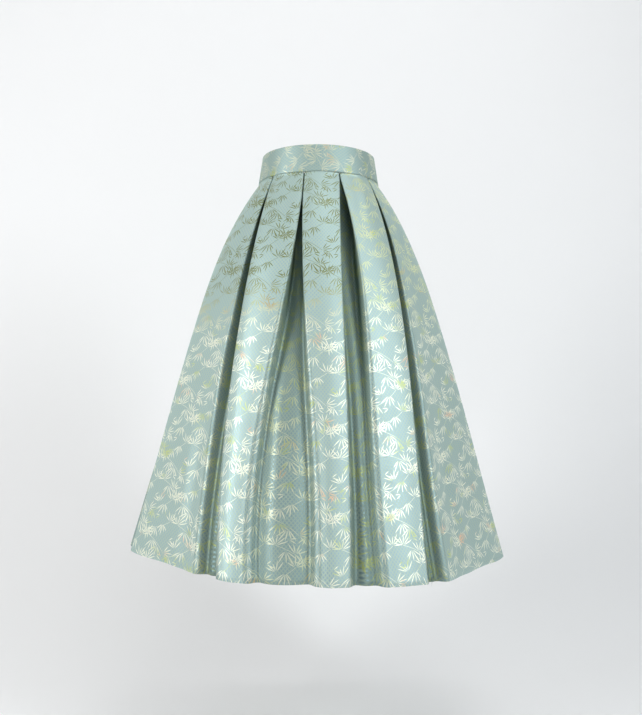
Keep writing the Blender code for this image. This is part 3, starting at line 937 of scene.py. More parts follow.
    def pull_tab(self) -> bpy.types.Object:
        """The pull tab: a flat drop with an eye round the bail and a shallow recessed face."""
        bar_top, eye_top = self.bar / 2, -self.bar / 2
        eye_foot, foot = eye_top - self.eye_length, -self.pull_length
        eye_heights = np.linspace(eye_top, eye_foot, self.eye_levels)
        heights = [bar_top, *eye_heights, *np.linspace(eye_foot, foot, self.blade_levels)[1:]]
        count, columns, eye_edges = len(heights) - 1, 7, (2, 4)
        out = self.slider_size[1] + self.pull_out
        take_up()
        bpy.ops.mesh.primitive_grid_add(
            x_subdivisions=columns - 1, y_subdivisions=count, size=1.0, location=(0.0, out, 0.0),
            rotation=(-math.pi / 2, 0.0, 0.0),
        )
        piece = just_added()
        bpy.ops.object.mode_set(mode="EDIT")
        middle = (0.0, out, 0.0)
        round_centre = foot + self.pull_half_width
        for row, height in enumerate(heights):
            share = min((bar_top - height) / (bar_top - round_centre), 1.0)
            half = between((self.neck_half_width, self.pull_half_width), share)
            if height < round_centre:
                tip = self.pull_tip * half
                half = math.sqrt(max(half ** 2 - (height - round_centre) ** 2, tip ** 2))
            pick(piece, lambda _, __, index: index // columns == row)
            bpy.ops.transform.resize(value=(2.0 * half, 1.0, 1.0), center_override=middle)
            bpy.ops.transform.translate(value=(0.0, 0.0, height - 0.5 + row / count))
            if eye_foot <= height <= eye_top:
                pick(piece, lambda _, __, index: index // columns == row and index % columns in eye_edges)
                wider = self.eye_half_width / (half / 3.0)
                bpy.ops.transform.resize(value=(wider, 1.0, 1.0), center_override=middle)
        eye = self.eye_half_width
        pick(piece, lambda at, _, __: abs(at.x) < eye and eye_foot < at.z < eye_top, faces=True)
        bpy.ops.mesh.delete(type="FACE")
        bpy.ops.object.mode_set(mode="OBJECT")
        apply_modifier(piece, "SOLIDIFY", thickness=self.pull_thickness, offset=0.0)
        bpy.ops.object.mode_set(mode="EDIT")
        recess_top = eye_foot - self.recess_from_eye
        pick(piece, lambda at, normal, _: normal.y > FACES_OUT and at.z < recess_top, faces=True)
        bpy.ops.mesh.inset(thickness=self.pull_rim, depth=-self.pull_recess)
        bpy.ops.object.mode_set(mode="OBJECT")
        apply_modifier(piece, "BEVEL", width=self.pull_rounding, segments=2, limit_method="ANGLE")
        apply_modifier(piece, "SUBSURF", levels=1, render_levels=1)
        return self.settled(piece, "zip_pull_metal")

    def settled(self, piece: bpy.types.Object, name: str) -> bpy.types.Object:
        """Smooths a finished piece's rounded faces, names it and puts its place in its mesh."""
        take_up(piece)
        bpy.ops.object.shade_smooth_by_angle(angle=self.smooth_below)
        piece.data.transform(self.place())
        piece.name = piece.data.name = name
        return piece


@dataclass(frozen=True)
class SoftBox:
    """A soft box: where it stands, what it points at, its width and height, its watts and its tint."""

    name: str
    place: tuple[float, float, float]
    aim: tuple[float, float, float]
    size: tuple[float, float]
    power: float
    tint: tuple[float, float, float] = (1.0, 1.0, 1.0)

    def build(self) -> None:
        """Adds the light."""
        data = bpy.data.lights.new(self.name, "AREA")
        data.shape = "RECTANGLE"
        data.size, data.size_y = self.size
        data.energy = self.power
        data.color = self.tint
        light = placed(self.name, data)
        light.location = self.place
        ahead = Vector(self.aim) - Vector(self.place)
        light.rotation_euler = ahead.to_track_quat("-Z", "Y").to_euler()


@dataclass(frozen=True)
class Studio:
    """The camera, the pale backdrop, the soft boxes and the room's light.

    There is a box on the ceiling in front, a key from the right, a fill from the left, a wash down the
    backdrop, and one for the back.
    """

    focal_pixels: float = 753.0
    frame_height: float = 715.0
    sensor: float = 36.0
    azimuth: float = math.radians(-4.0)
    distance: float = 1.5
    aside: float = 0.005
    height: float = -0.458
    horizon: float = 42.5
    floor: float = -1.12
    wall: float = 1.0
    cove: float = 0.7
    cove_steps: int = 16
    floor_reach: float = 4.0
    half_width: float = 5.0
    wall_top: float = 3.0
    paper: tuple[float, float, float] = (0.87, 0.87, 0.87)
    paper_roughness: float = 0.9
    boxes: tuple[SoftBox, ...] = (
        SoftBox("ceiling_box", (0.4, -1.3, 1.7), (0.0, -0.1, -0.45), (1.2, 0.9), 12.0),
        SoftBox("key_box", (1.65, -1.8, 0.45), (0.0, 0.0, -0.45), (0.7, 1.5), 36.0, (0.93, 0.97, 1.0)),
        SoftBox("left_box", (-2.1, -1.35, 0.35), (0.0, 0.0, -0.45), (0.8, 1.5), 42.0),
        SoftBox("wall_wash", (0.0, 0.25, 2.2), (0.0, 0.95, -0.4), (3.6, 0.5), 12.0),
        SoftBox("back_box", (0.9, 2.2, 0.8), (0.0, 0.2, -0.45), (1.6, 1.2), 16.0),
    )
    room: tuple[float, float, float] = (0.80, 0.83, 0.85)
    room_light: float = 0.20
    room_seen: float = 0.95

    def camera(self) -> None:
        """Sets the camera at the photograph's viewing angle."""
        data = bpy.data.cameras.new("view")
        data.sensor_fit = "VERTICAL"
        data.sensor_height = self.sensor
        data.lens = self.focal_pixels * self.sensor / self.frame_height
        camera = placed("view", data)
        ahead = Vector((-math.sin(self.azimuth), math.cos(self.azimuth), 0.0))
        right = Vector((math.cos(self.azimuth), math.sin(self.azimuth), 0.0))
        camera.location = -ahead * self.distance + right * self.aside + Vector((0.0, 0.0, self.height))
        pitch = math.atan(self.horizon / self.focal_pixels)
        camera.rotation_euler = (math.pi / 2 + pitch, 0.0, self.azimuth)
        bpy.context.scene.camera = camera

    def backdrop(self) -> None:
        """A floor that curves up into a wall, which is clear from behind."""
        line = [(-self.floor_reach, self.floor)]
        for k in range(self.cove_steps + 1):
            turn = math.pi / 2 * k / self.cove_steps
            away, up = self.cove * (1.0 - math.sin(turn)), self.cove * (1.0 - math.cos(turn))
            line.append((self.wall - away, self.floor + up))
        line.append((self.wall, self.wall_top))
        wide = self.half_width
        made = bmesh.new()
        for (y0, z0), (y1, z1) in zip(line, line[1:]):
            corners = [(-wide, y0, z0), (wide, y0, z0), (wide, y1, z1), (-wide, y1, z1)]
            made.faces.new([made.verts.new(corner) for corner in corners])
        bmesh.ops.remove_doubles(made, verts=made.verts, dist=1e-5)
        mesh = bpy.data.meshes.new("backdrop")
        made.to_mesh(mesh)
        made.free()
        mesh.shade_smooth()
        material, wires, shader = new_material("backdrop_paper")
        wires.feed(shader.inputs["Base Color"], self.paper)
        wires.feed(shader.inputs["Roughness"], self.paper_roughness)
        side = wires.node("ShaderNodeNewGeometry", {}).outputs["Backfacing"]
        clear = wires.node("ShaderNodeBsdfTransparent", {}).outputs[0]
        mix = wires.node("ShaderNodeMixShader", {0: side, 1: shader.outputs[0], 2: clear})
        wires.feed(material.node_tree.nodes["Material Output"].inputs["Surface"], mix.outputs[0])
        mesh.materials.append(material)
        placed("backdrop", mesh)

    def light(self) -> None:
        """Adds the soft boxes, and a room whose light is dimmer than it looks."""
        for box in self.boxes:
            box.build()
        world = bpy.data.worlds.new("room")
        world.use_nodes = True
        background = world.node_tree.nodes["Background"]
        wires = Wiring(world.node_tree)
        wires.feed(background.inputs["Color"], self.room)
        seen = wires.node("ShaderNodeLightPath", {}).outputs["Is Camera Ray"]
        wires.feed(background.inputs["Strength"], wires.blend(seen, self.room_light, self.room_seen))
        bpy.context.scene.world = world

    def build(self) -> None:
        """Sets up the whole studio, with plain tones."""
        self.camera()
        self.backdrop()
        self.light()
        bpy.context.scene.view_settings.view_transform = "Standard"


class PortKind(Enum):
    """The kind of a shader group's socket."""

    VALUE = "NodeSocketFloat"
    VECTOR = "NodeSocketVector"


@dataclass(frozen=True)
class Port:
    """A named input or output of a shader group."""

    name: str
    kind: PortKind = PortKind.VALUE


class Wiring:
    """Adds nodes to one node tree and joins them."""

    def __init__(self, tree: bpy.types.NodeTree) -> None:
        """Keeps the tree."""
        self.tree = tree

    def feed(self, socket: bpy.types.NodeSocket, source: object) -> None:
        """Links a socket to an output, or sets it to a plain value. A colour is given without its alpha."""
        if isinstance(source, bpy.types.NodeSocket):
            self.tree.links.new(source, socket)
        elif socket.type == "RGBA":
            socket.default_value = (*source, 1.0)
        else:
            socket.default_value = source

    def node(self, kind: str, sources: dict[int | str, object], **settings: object) -> bpy.types.Node:
        """Adds a node.

        Args:
            kind: its type.
            sources: what its inputs are fed with, by their names or numbers.
            settings: its properties.

        Returns:
            The node.
        """
        node = self.tree.nodes.new(kind)
        for name, value in settings.items():
            setattr(node, name, value)
        for key, source in sources.items():
            self.feed(node.inputs[key], source)
        return node

    def math(self, operation: str, *terms: object) -> bpy.types.NodeSocket:
        """A Math node's result."""
        return self.node("ShaderNodeMath", dict(enumerate(terms)), operation=operation).outputs[0]

    def vector(self, operation: str, *terms: object) -> bpy.types.NodeSocket:
        """A Vector Math node's vector."""
        node = self.node("ShaderNodeVectorMath", dict(enumerate(terms)), operation=operation)
        return node.outputs["Vector"]

    def turned(self, vector: object, angle: object) -> bpy.types.NodeSocket:
        """A vector turned about Z."""
        sources = {"Vector": vector, "Angle": angle}
        return self.node("ShaderNodeVectorRotate", sources, rotation_type="Z_AXIS").outputs[0]

    def parts(self, vector: object) -> list[bpy.types.NodeSocket]:
        """A vector's X and Y."""
        return self.node("ShaderNodeSeparateXYZ", {0: vector}).outputs[:2]

    def channels(self, colour: object) -> list[bpy.types.NodeSocket]:
        """A colour's red and green."""
        return self.node("ShaderNodeSeparateColor", {0: colour}).outputs[:2]

    def joined(self, *parts: object) -> bpy.types.NodeSocket:
        """A vector from its parts."""
        return self.node("ShaderNodeCombineXYZ", dict(enumerate(parts))).outputs[0]

    def step(self, value: object, low: object, high: object) -> bpy.types.NodeSocket:
        """A smooth step from 0 at low to 1 at high."""
        sources = {"Value": value, "From Min": low, "From Max": high}
        return self.node("ShaderNodeMapRange", sources, interpolation_type="SMOOTHSTEP").outputs[0]

    def blend(self, share: object, first: object, second: object) -> bpy.types.NodeSocket:
        """A value between two values."""
        return self.node("ShaderNodeMix", {0: share, 2: first, 3: second}, data_type="FLOAT").outputs[0]

    def tint(self, share: object, first: object, second: object) -> bpy.types.NodeSocket:
        """A colour between two colours."""
        return self.node("ShaderNodeMix", {0: share, 6: first, 7: second}, data_type="RGBA").outputs[2]

    def noise(self, vector: object, scale: float, detail: float = 2.0) -> bpy.types.NodeSocket:
        """A noise texture's value."""
        sources = {"Vector": vector, "Scale": scale, "Detail": detail}
        return self.node("ShaderNodeTexNoise", sources).outputs[0]

    def attribute(self, name: str) -> bpy.types.NodeSocket:
        """The vector that the mesh holds under a name."""
        return self.node("ShaderNodeAttribute", {}, attribute_name=name).outputs["Vector"]

    def place(self) -> bpy.types.NodeSocket:
        """The place on the piece, in its own coordinates."""
        return self.node("ShaderNodeTexCoord", {}).outputs["Object"]

    def group(self, tree: bpy.types.NodeTree, **sources: object) -> bpy.types.bpy_prop_collection:
        """The outputs of a shader group that is placed and fed here."""
        return self.node("ShaderNodeGroup", sources, node_tree=tree).outputs

    def raise_surface(self, shader: bpy.types.Node, height: object, strength: float, distance: float) -> None:
        """Feeds a shader's normal with a height."""
        sources = {"Height": height, "Strength": strength, "Distance": distance}
        self.feed(shader.inputs["Normal"], self.node("ShaderNodeBump", sources).outputs[0])


def new_material(name: str) -> tuple[bpy.types.Material, Wiring, bpy.types.Node]:
    """A new material, the wiring of its nodes and its shader."""
    material = bpy.data.materials.new(name)
    material.use_nodes = True
    return material, Wiring(material.node_tree), material.node_tree.nodes["Principled BSDF"]


def ports(vectors: tuple[str, ...] = (), values: tuple[str, ...] = ()) -> tuple[Port, ...]:
    """The ports of a shader group, from the names of its vectors and values."""
    return (*(Port(name, PortKind.VECTOR) for name in vectors), *(Port(name) for name in values))


def new_group(name: str, inputs: tuple[Port, ...], outputs: tuple[Port, ...]) -> tuple:
    """Starts a shader group.

    Args:
        name: the group's name.
        inputs: its inputs.
        outputs: its outputs.

    Returns:
        The wiring of its tree, its input sockets by name, and the sockets that its outputs are fed by.
    """
    tree = bpy.data.node_groups.new(name, "ShaderNodeTree")
    for port in inputs:
        tree.interface.new_socket(port.name, in_out="INPUT", socket_type=port.kind.value)
    for port in outputs:
        tree.interface.new_socket(port.name, in_out="OUTPUT", socket_type=port.kind.value)
    wires = Wiring(tree)
    source, sink = wires.node("NodeGroupInput", {}), wires.node("NodeGroupOutput", {})
    return wires, source.outputs, sink.inputs


@dataclass(frozen=True)
class Fan:
    """A fan of bamboo leaves in the woven repeat: place and sizes in millimetres, angles in degrees.

    turn is where its middle points, counted clockwise from straight up.
    """

    x: float
    y: float
    turn: float
    leaves: int
    spread: float
    length: float
    width: float = 1.9


@dataclass(frozen=True)
class Stem:
    """A thin bowed stem in the woven repeat, from one point to another, in millimetres."""

    x0: float
    y0: float
    x1: float
    y1: float
    bow: float
    width: float = 0.9


@dataclass(frozen=True)
class Repeat:
    """The woven repeat: sprays of bamboo, each a thin stem with fans of leaves, and loose pairs of leaves.

    It is a half drop: each row of repeats lies half a width to the side of the row below it.
    """

    width: float = 0.108
    height: float = 0.072
    fans: tuple[Fan, ...] = (
        Fan(5, 67, -5, 6, 150, 22),
        Fan(21, 58, 175, 5, 105, 23),
        Fan(34, 49, 190, 5, 100, 24),
        Fan(50, 40, 85, 5, 120, 20),
        Fan(101, 62, 10, 6, 145, 22),
        Fan(86, 53, 185, 5, 105, 23),
        Fan(72, 54, -20, 5, 120, 20),
        Fan(61, 37, 190, 4, 85, 19),
        Fan(17, 23, 0, 6, 150, 22),
        Fan(32, 15, 180, 5, 105, 24),
        Fan(46, 10, 20, 5, 120, 20),
        Fan(57, 1, 130, 5, 105, 22),
        Fan(107, 24, 15, 6, 145, 22),
        Fan(91, 17, 180, 5, 105, 23),
        Fan(76, 9, 200, 5, 100, 22),
        Fan(57, 64, 80, 2, 45, 14),
        Fan(81, 31, 250, 2, 45, 14),
        Fan(36, 33, 100, 2, 40, 14),
    )
    stems: tuple[Stem, ...] = (
        Stem(5, 67, 50, 39, 3.0),
        Stem(101, 62, 60, 36, 2.6),
        Stem(17, 23, 58, 0, 2.6),
        Stem(107, 24, 73, 7, 2.1),
    )


class BambooWeave:
    """The shader groups of the woven design."""

    wander = 0.36  # how far a leaf turns from its even place, as a share of the step between leaves
    shortest = 0.66
    growth = 0.40
    droop = 0.0007
    stalk = 0.08  # the share of a leaf's length that is bare
    fullness = 2.2
    leaf_edge = (-0.00008, 0.00022)
    stem_edge = (-0.0001, 0.0002)

    def __init__(self, repeat: Repeat) -> None:
        """Builds the groups for a fan and a stem, and the chart that sets them out."""
        self.repeat = repeat
        self.fan = self.fan_group()
        self.stem = self.stem_group()
        self.chart = self.chart_group()

    def wrapped(self, wires: Wiring, cut: object, place: object) -> bpy.types.NodeSocket:
        """The way to the point from the nearest repeat of a place."""
        width, height = self.repeat.width, self.repeat.height
        x, y = wires.parts(wires.vector("SUBTRACT", cut, place))
        row = wires.math("ROUND", wires.math("DIVIDE", y, height))
        up = wires.math("SUBTRACT", y, wires.math("MULTIPLY", row, height))
        along = wires.math("SUBTRACT", x, wires.math("MULTIPLY", row, width / 2))
        across = wires.math("WRAP", along, width / 2, -width / 2)
        return wires.joined(across, up)

    def fan_group(self) -> bpy.types.NodeTree:
        """One fan: leaves at even turns with a little unevenness, each a slim pointed lens."""
        values = ("Turn", "Last", "Odd", "Step", "Length", "Width", "Seed")
        inputs = ports(vectors=("Cut", "Place"), values=values)
        wires, into, out = new_group("leaf fan", inputs, ports(values=("Leaf",)))
        x, y = wires.parts(wires.turned(self.wrapped(wires, into["Cut"], into["Place"]), into["Turn"]))
        angle = wires.math("ARCTAN2", x, y)
        square = wires.math("MULTIPLY_ADD", y, y, wires.math("MULTIPLY", x, x))
        reach = wires.math("SQRT", square)
        order = wires.math("SUBTRACT", wires.math("DIVIDE", angle, into["Step"]), into["Odd"])
        order = wires.math("ADD", wires.math("ROUND", order), into["Odd"])
        low = wires.math("MULTIPLY", into["Last"], -1.0)
        order = wires.math("MAXIMUM", wires.math("MINIMUM", order, into["Last"]), low)
        seed = {"Vector": wires.joined(order, into["Seed"])}
        random = wires.node("ShaderNodeTexWhiteNoise", seed, noise_dimensions="2D")
        shift, grow = wires.channels(random.outputs["Color"])
        wander = wires.math("MULTIPLY_ADD", shift, self.wander, -self.wander / 2)
        lean = wires.math("MULTIPLY", wires.math("ADD", order, wander), into["Step"])
        own = wires.math("SUBTRACT", angle, lean)
        grown = wires.math("MULTIPLY_ADD", grow, self.growth, self.shortest)
        length = wires.math("MULTIPLY", into["Length"], grown)
        share = wires.math("DIVIDE", wires.math("MULTIPLY", reach, wires.math("COSINE", own)), length)
        across = wires.math("MULTIPLY", reach, wires.math("SINE", own))
        droop = wires.math("MULTIPLY", order, self.droop)
        droop = wires.math("MULTIPLY", wires.math("MULTIPLY", share, share), droop)
        across = wires.math("ABSOLUTE", wires.math("ADD", across, droop))
        left = wires.math("SUBTRACT", 1.0, share)
        taper = wires.math("MULTIPLY", wires.math("SUBTRACT", share, self.stalk), left)
        half = wires.math("MULTIPLY", wires.math("MULTIPLY", taper, self.fullness), into["Width"])
        half = wires.math("MULTIPLY", half, wires.math("GREATER_THAN", left, 0.0))
        wires.feed(out["Leaf"], wires.step(wires.math("SUBTRACT", half, across), *self.leaf_edge))
        return wires.tree

    def stem_group(self) -> bpy.types.NodeTree:
        """One stem: a bowed line along X from its middle, turned to its place."""
        inputs = ports(vectors=("Cut", "Place"), values=("Turn", "Half", "Bow", "Width"))
        wires, into, out = new_group("stem", inputs, ports(values=("Stem",)))
        x, y = wires.parts(wires.turned(self.wrapped(wires, into["Cut"], into["Place"]), into["Turn"]))
        share = wires.math("DIVIDE", x, into["Half"])
        square = wires.math("MULTIPLY", share, share)
        line = wires.math("MULTIPLY", wires.math("SUBTRACT", 1.0, square), into["Bow"])
        away = wires.math("ABSOLUTE", wires.math("SUBTRACT", y, line))
        inside = wires.math("LESS_THAN", square, 1.0)
        half = wires.math("MULTIPLY", into["Width"], 0.5)
        band = wires.step(wires.math("SUBTRACT", half, away), *self.stem_edge)
        wires.feed(out["Stem"], wires.math("MULTIPLY", band, inside))
        return wires.tree

    def chart_group(self) -> bpy.types.NodeTree:
        """Sets out all the fans and stems of the repeat."""
        inputs, outputs = ports(vectors=("Cut",)), ports(values=("Leaf", "Stem"))
        wires, into, out = new_group("bamboo chart", inputs, outputs)
        leaf: object = 0.0
        for seed, fan in enumerate(self.repeat.fans):
            last = (fan.leaves - 1) / 2
            one = wires.group(
                self.fan, Cut=into["Cut"], Place=(fan.x / 1000, fan.y / 1000, 0.0),
                Turn=math.radians(fan.turn), Last=last, Odd=last % 1.0,
                Step=math.radians(fan.spread) / (fan.leaves - 1), Length=fan.length / 1000,
                Width=fan.width / 1000, Seed=seed + 0.5,
            )
            leaf = wires.math("MAXIMUM", leaf, one["Leaf"])
        line: object = 0.0
        for stem in self.repeat.stems:
            across, up = stem.x1 - stem.x0, stem.y1 - stem.y0
            place = ((stem.x0 + stem.x1) / 2000, (stem.y0 + stem.y1) / 2000, 0.0)
            one = wires.group(
                self.stem, Cut=into["Cut"], Place=place, Turn=-math.atan2(up, across),
                Half=math.hypot(across, up) / 2000, Bow=stem.bow / 1000, Width=stem.width / 1000,
            )
            line = wires.math("MAXIMUM", line, one["Stem"])
        wires.feed(out["Leaf"], leaf)
        wires.feed(out["Stem"], line)
        return wires.tree


def lattice_group() -> bpy.types.NodeTree:
    """Fine crossing lines woven in the ground, on the bias. Its Lean is their angle from upright."""
    inputs = ports(vectors=("Cut",), values=("Pitch", "Line", "Soft", "Lean"))
    wires, into, out = new_group("ground lattice", inputs, ports(values=("Lines",)))
    lines: object = 0.0
    for lean in (into["Lean"], wires.math("MULTIPLY", into["Lean"], -1.0)):
        x, _ = wires.parts(wires.turned(into["Cut"], lean))
        place = wires.math("FRACT", wires.math("DIVIDE", x, into["Pitch"]))
        away = wires.math("ABSOLUTE", wires.math("SUBTRACT", place, 0.5))
        line = wires.step(away, wires.math("ADD", into["Line"], into["Soft"]), into["Line"])
        lines = wires.math("MAXIMUM", lines, line)
    wires.feed(out["Lines"], lines)
    return wires.tree


def thread_group() -> bpy.types.NodeTree:
    """The height of a satin weave's threads, floating along the cut's height and tied down on the bias."""
    inputs = ports(vectors=("Cut",), values=("Pitch",))
    wires, into, out = new_group("threads", inputs, ports(values=("Height",)))
    x, y = wires.parts(into["Cut"])
    across = wires.math("DIVIDE", x, into["Pitch"])
    round_top = wires.math("ABSOLUTE", wires.math("SINE", wires.math("MULTIPLY", across, math.pi)))
    step = wires.math("MULTIPLY", across, SATIN_STEP)
    tie = wires.math("ADD", wires.math("DIVIDE", y, into["Pitch"]), step)
    tied = wires.math("ABSOLUTE", wires.math("SINE", wires.math("MULTIPLY", tie, math.pi / SATIN_ENDS)))
    wires.feed(out["Height"], wires.math("MULTIPLY", round_top, wires.math("MULTIPLY_ADD", tied, 0.5, 0.5)))
    return wires.tree


@dataclass(frozen=True)
class Jacquard:
    """The cloth's finish: a satin ground, a rougher lattice, and pale gold leaves, with shade painted in the
    pleats and on the leaves above.
    """

    name: str
    ground: tuple[float, float, float]
    line: tuple[float, float, float]
    leaf: tuple[float, float, float]
    # the green leaf colour serves both the leaves' own greener drifts and their painted shade; the olive one
    # is painted shade alone
    leaf_green_and_shade: tuple[float, float, float]
    leaf_warm: tuple[float, float, float]
    leaf_olive_shade: tuple[float, float, float]
    # painted shade in the pleats: its dark colour, its greatest share, and the power of how shut in the cloth
    # is that sets it
    fold: tuple[float, float, float] = (0.022, 0.058, 0.034)
    fold_shade: float = 0.87
    fold_power: float = 0.5
    leaf_fold_shade: tuple[float, float] = (0.05, 0.50)  # painted shade on the leaves: how shut in, from where they turn green to all green
    green_scale: float = 31.0
    green_range: tuple[float, float] = (0.55, 0.70)
    warm_scale: float = 27.0
    warm_range: tuple[float, float] = (0.62, 0.74)
    warm_place: tuple[float, float, float] = (3.1, 1.7, 0.0)
    # painted shade on the leaves above, where their metal thread would catch less light: greener all round,
    # and olive in the middle and on the wearer's right
    upper_shade_range: tuple[float, float] = (0.46, 0.26)  # shares of the length, from no change to all of it
    upper_shade_share: float = 0.6
    olive_shade_range: tuple[float, float] = (0.085, 0.020)  # X, from no olive to all of it
    olive_shade_share: float = 0.85
    stem_share: float = 0.75
    line_share: float = 0.8
    line_pitch: float = 0.0046
    line_width: float = 0.13
    line_soft: float = 0.10
    line_lean: float = math.radians(38.0)
    thread_pitch: float = 0.00042
    ground_metallic: float = 0.88
    line_metallic: float = 0.10
    leaf_metallic: float = 0.35
    ground_roughness: float = 0.50
    line_roughness: float = 0.65
    leaf_roughness: float = 0.42
    mottle: float = 0.12
    mottle_scale: float = 22.0
    relief: tuple[float, float] = (0.25, 0.0001)  # strength and distance

    def gold(self, wires: Wiring, cut: object, shade_in_folds: object, level: object) -> bpy.types.NodeSocket:
        """The leaves' colour.

        Args:
            wires: the wiring of the material.
            cut: the place in the cut.
            shade_in_folds: how much shade is painted on the place.
            level: its share of the length.

        Returns:
            Pale gold, greener and warmer in drifts, with painted shade that makes it greener above and in the
            folds, and olive above on the wearer's right and in the middle.
        """
        green = wires.step(wires.noise(cut, self.green_scale, 1.0), *self.green_range)
        gold = wires.tint(green, self.leaf, self.leaf_green_and_shade)
        drift = wires.noise(wires.vector("ADD", cut, self.warm_place), self.warm_scale, 1.0)
        gold = wires.tint(wires.step(drift, *self.warm_range), gold, self.leaf_warm)
        # painted shade above, where the metal thread would catch less light
        upper_shade = wires.step(level, *self.upper_shade_range)
        gold = wires.tint(wires.math("MULTIPLY", upper_shade, self.upper_shade_share), gold, self.leaf_green_and_shade)
        across, _ = wires.parts(wires.place())
        olive = wires.math("MULTIPLY", upper_shade, wires.step(across, *self.olive_shade_range))
        gold = wires.tint(wires.math("MULTIPLY", olive, self.olive_shade_share), gold, self.leaf_olive_shade)
        # painted shade in the folds turns the leaves green
        return wires.tint(wires.step(shade_in_folds, *self.leaf_fold_shade), gold, self.leaf_green_and_shade)

    def build(
        self, weave: BambooWeave, lattice: bpy.types.NodeTree, threads: bpy.types.NodeTree
    ) -> bpy.types.Material:
        """Makes the material.

        Args:
            weave: the woven design.
            lattice: the group of the ground's lattice.
            threads: the group of the threads' height.

        Returns:
            The material, which reads its place in the cut.
        """
        material, wires, shader = new_material(self.name)
        cut = wires.attribute(CUT)
        shade_in_folds, level = wires.parts(wires.attribute(PAINTED_SHADE_AND_LEVEL))
        chart = wires.group(weave.chart, Cut=cut)
        lines = wires.group(
            lattice, Cut=cut, Pitch=self.line_pitch, Line=self.line_width, Soft=self.line_soft,
            Lean=self.line_lean,
        )["Lines"]
        height = wires.group(threads, Cut=cut, Pitch=self.thread_pitch)["Height"]
        leaf = wires.math("MAXIMUM", chart["Leaf"], wires.math("MULTIPLY", chart["Stem"], self.stem_share))
        ground = wires.tint(wires.math("MULTIPLY", lines, self.line_share), self.ground, self.line)
        colour = wires.tint(leaf, ground, self.gold(wires, cut, shade_in_folds, level))
        # painted shade: the colour runs towards a dark green, deep in the pleats, on their rounded edges and
        # all over the band
        shade = wires.math("MULTIPLY", wires.math("POWER", shade_in_folds, self.fold_power), self.fold_shade)
        wires.feed(shader.inputs["Base Color"], wires.tint(shade, colour, self.fold))
        metallic = wires.blend(lines, self.ground_metallic, self.line_metallic)
        wires.feed(shader.inputs["Metallic"], wires.blend(leaf, metallic, self.leaf_metallic))
        rough = wires.blend(lines, self.ground_roughness, self.line_roughness)
        rough = wires.math("SUBTRACT", wires.blend(leaf, rough, self.leaf_roughness), self.mottle / 2)
        rough = wires.math("MULTIPLY_ADD", wires.noise(cut, self.mottle_scale), self.mottle, rough)
        wires.feed(shader.inputs["Roughness"], rough)
        wires.raise_surface(shader, height, *self.relief)
        return material


def grain_group() -> bpy.types.NodeTree:
    """Fine uneven grain in a moulded or enamelled surface, with a slow drift in its tone."""
    inputs = ports(vectors=("Place",), values=("Scale",))
    wires, into, out = new_group("fine grain", inputs, ports(values=("Height", "Drift")))
    near = wires.vector("SCALE", into["Place"])
    wires.feed(near.node.inputs["Scale"], into["Scale"])
    wires.feed(out["Height"], wires.noise(near, 1.0, 3.0))
    far = wires.vector("MULTIPLY", near, (DRIFT_SCALE,) * 3)
    wires.feed(out["Drift"], wires.noise(far, 1.0, 1.0))
    return wires.tree


@dataclass(frozen=True)
class Hardware:
    """The finish of the zip's hard pieces: satin enamel on metal, or dyed nylon."""

    name: str
    colour: tuple[float, float, float]
    shade: tuple[float, float, float]
    metallic: float
    roughness: float
    uneven: float = 0.16
    grain: float = 1800.0
    drift: tuple[float, float] = (0.35, 0.65)
    relief: tuple[float, float] = (0.12, 0.00005)  # strength and distance

    def build(self, grain: bpy.types.NodeTree) -> bpy.types.Material:
        """Makes the material, which reads the piece's own coordinates."""
        material, wires, shader = new_material(self.name)
        wires.feed(shader.inputs["Metallic"], self.metallic)
        fine = wires.group(grain, Place=wires.place(), Scale=self.grain)
        tone = wires.step(fine["Drift"], *self.drift)
        wires.feed(shader.inputs["Base Color"], wires.tint(tone, self.shade, self.colour))
        smoothest = self.roughness - self.uneven / 2
        rough = wires.math("MULTIPLY_ADD", fine["Height"], self.uneven, smoothest)
        wires.feed(shader.inputs["Roughness"], rough)
        wires.raise_surface(shader, fine["Height"], *self.relief)
        return material


@dataclass(frozen=True)
class TapeWeave:
    """The zip tape's finish: a plain dyed twill."""

    name: str = "zip_tape_twill"
    colour: tuple[float, float, float] = (0.260, 0.380, 0.360)
    shade: tuple[float, float, float] = (0.190, 0.290, 0.275)
    pitch: float = 0.0006
    sheen: float = 0.2
    roughness: tuple[float, float] = (0.85, 0.70)  # between the threads and on them
    relief: tuple[float, float] = (0.4, 0.0002)  # strength and distance

    def build(self, threads: bpy.types.NodeTree) -> bpy.types.Material:
        """Makes the material, which reads its place in the cut."""
        material, wires, shader = new_material(self.name)
        wires.feed(shader.inputs["Sheen Weight"], self.sheen)
        height = wires.group(threads, Cut=wires.attribute(CUT), Pitch=self.pitch)["Height"]
        # painted shade: the colour is darker between the threads, in the weave's hollows
        wires.feed(shader.inputs["Base Color"], wires.tint(height, self.shade, self.colour))
        wires.feed(shader.inputs["Roughness"], wires.blend(height, *self.roughness))
        wires.raise_surface(shader, height, *self.relief)
        return material


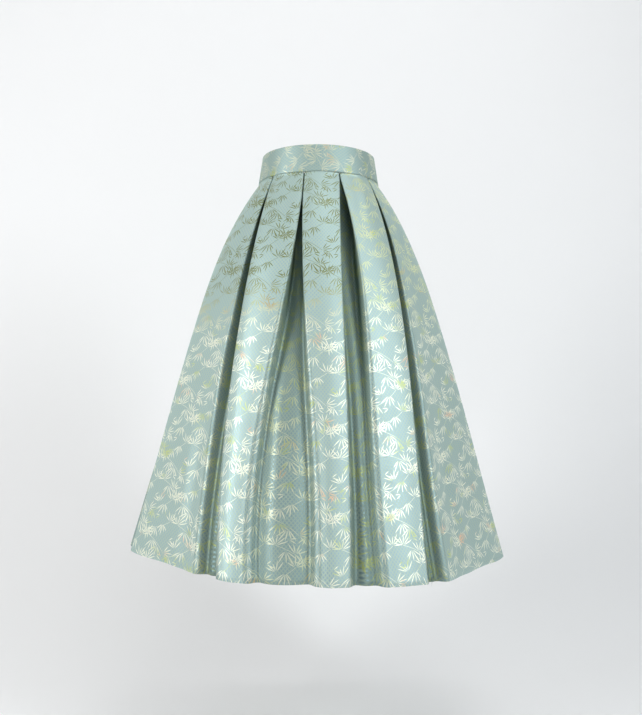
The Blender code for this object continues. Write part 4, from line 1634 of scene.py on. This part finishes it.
ENAMEL = Hardware(
    name="zip_enamel",
    colour=(0.400, 0.520, 0.500),
    shade=(0.340, 0.460, 0.440),
    metallic=0.55,
    roughness=0.34,
)
NYLON = Hardware(
    name="zip_nylon",
    colour=(0.300, 0.430, 0.410),
    shade=(0.240, 0.360, 0.340),
    metallic=0.0,
    roughness=0.50,
)
FACE = Jacquard(
    name="jacquard_face",
    ground=(0.360, 0.500, 0.535),
    line=(0.430, 0.545, 0.440),
    leaf=(0.880, 0.900, 0.740),
    leaf_green_and_shade=(0.560, 0.640, 0.220),
    leaf_warm=(0.820, 0.560, 0.360),
    leaf_olive_shade=(0.120, 0.145, 0.030),
)
REVERSE = Jacquard(
    name="jacquard_reverse",
    ground=(0.420, 0.420, 0.260),
    line=(0.300, 0.360, 0.270),
    leaf=(0.250, 0.380, 0.370),
    leaf_green_and_shade=(0.250, 0.360, 0.330),
    leaf_warm=(0.300, 0.330, 0.280),
    leaf_olive_shade=(0.250, 0.380, 0.370),
    ground_metallic=0.25,
    leaf_metallic=0.30,
)


def dress(
    piece: bpy.types.Object, finishes: tuple[bpy.types.Material, ...], body: str, node: str | None
) -> None:
    """Dresses a piece and reports it.

    Args:
        piece: the piece.
        finishes: its materials, the second one for the inside of a sheet.
        body: the body that it moves with.
        node: the node that it stands for, if any.
    """
    for finish in finishes:
        piece.data.materials.append(finish)
    if node is not None:
        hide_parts(node)
    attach(piece, body)
    log.info("%s: %d points", piece.name, len(piece.data.vertices))


def main() -> None:
    """Builds the studio and the garment."""
    logging.basicConfig(level=logging.INFO, format="%(name)s: %(message)s")
    Studio().build()
    weave, lattice, threads, grain = BambooWeave(Repeat()), lattice_group(), thread_group(), grain_group()
    face, reverse = (finish.build(weave, lattice, threads) for finish in (FACE, REVERSE))
    enamel, nylon, twill = ENAMEL.build(grain), NYLON.build(grain), TapeWeave().build(threads)
    panels = (
        SkirtPanel("skirt_front", (FRONT_RIGHT, FRONT_LEFT), 0.0, (0.0, 0.0)),
        SkirtPanel("skirt_back_left", (BACK_LEFT,), 0.0005, (0.02, 0.03)),
        SkirtPanel("skirt_back_right", (BACK_RIGHT,), 0.0005, (-0.03, 0.01)),
    )
    for panel in panels:
        dress(panel.build(), (face, reverse), "garment", panel.node)
    dress(Band().build(), (face, face), "garment", "waistband")
    closing = Zip()
    dress(closing.slider(), (enamel,), "garment", "zip_slider")
    dress(closing.pull_tab(), (enamel,), "pull", "zip_pull")
    dress(closing.teeth(), (nylon,), "garment", None)
    dress(closing.tape(), (twill, twill), "garment", None)


if __name__ == "__main__":
    main()
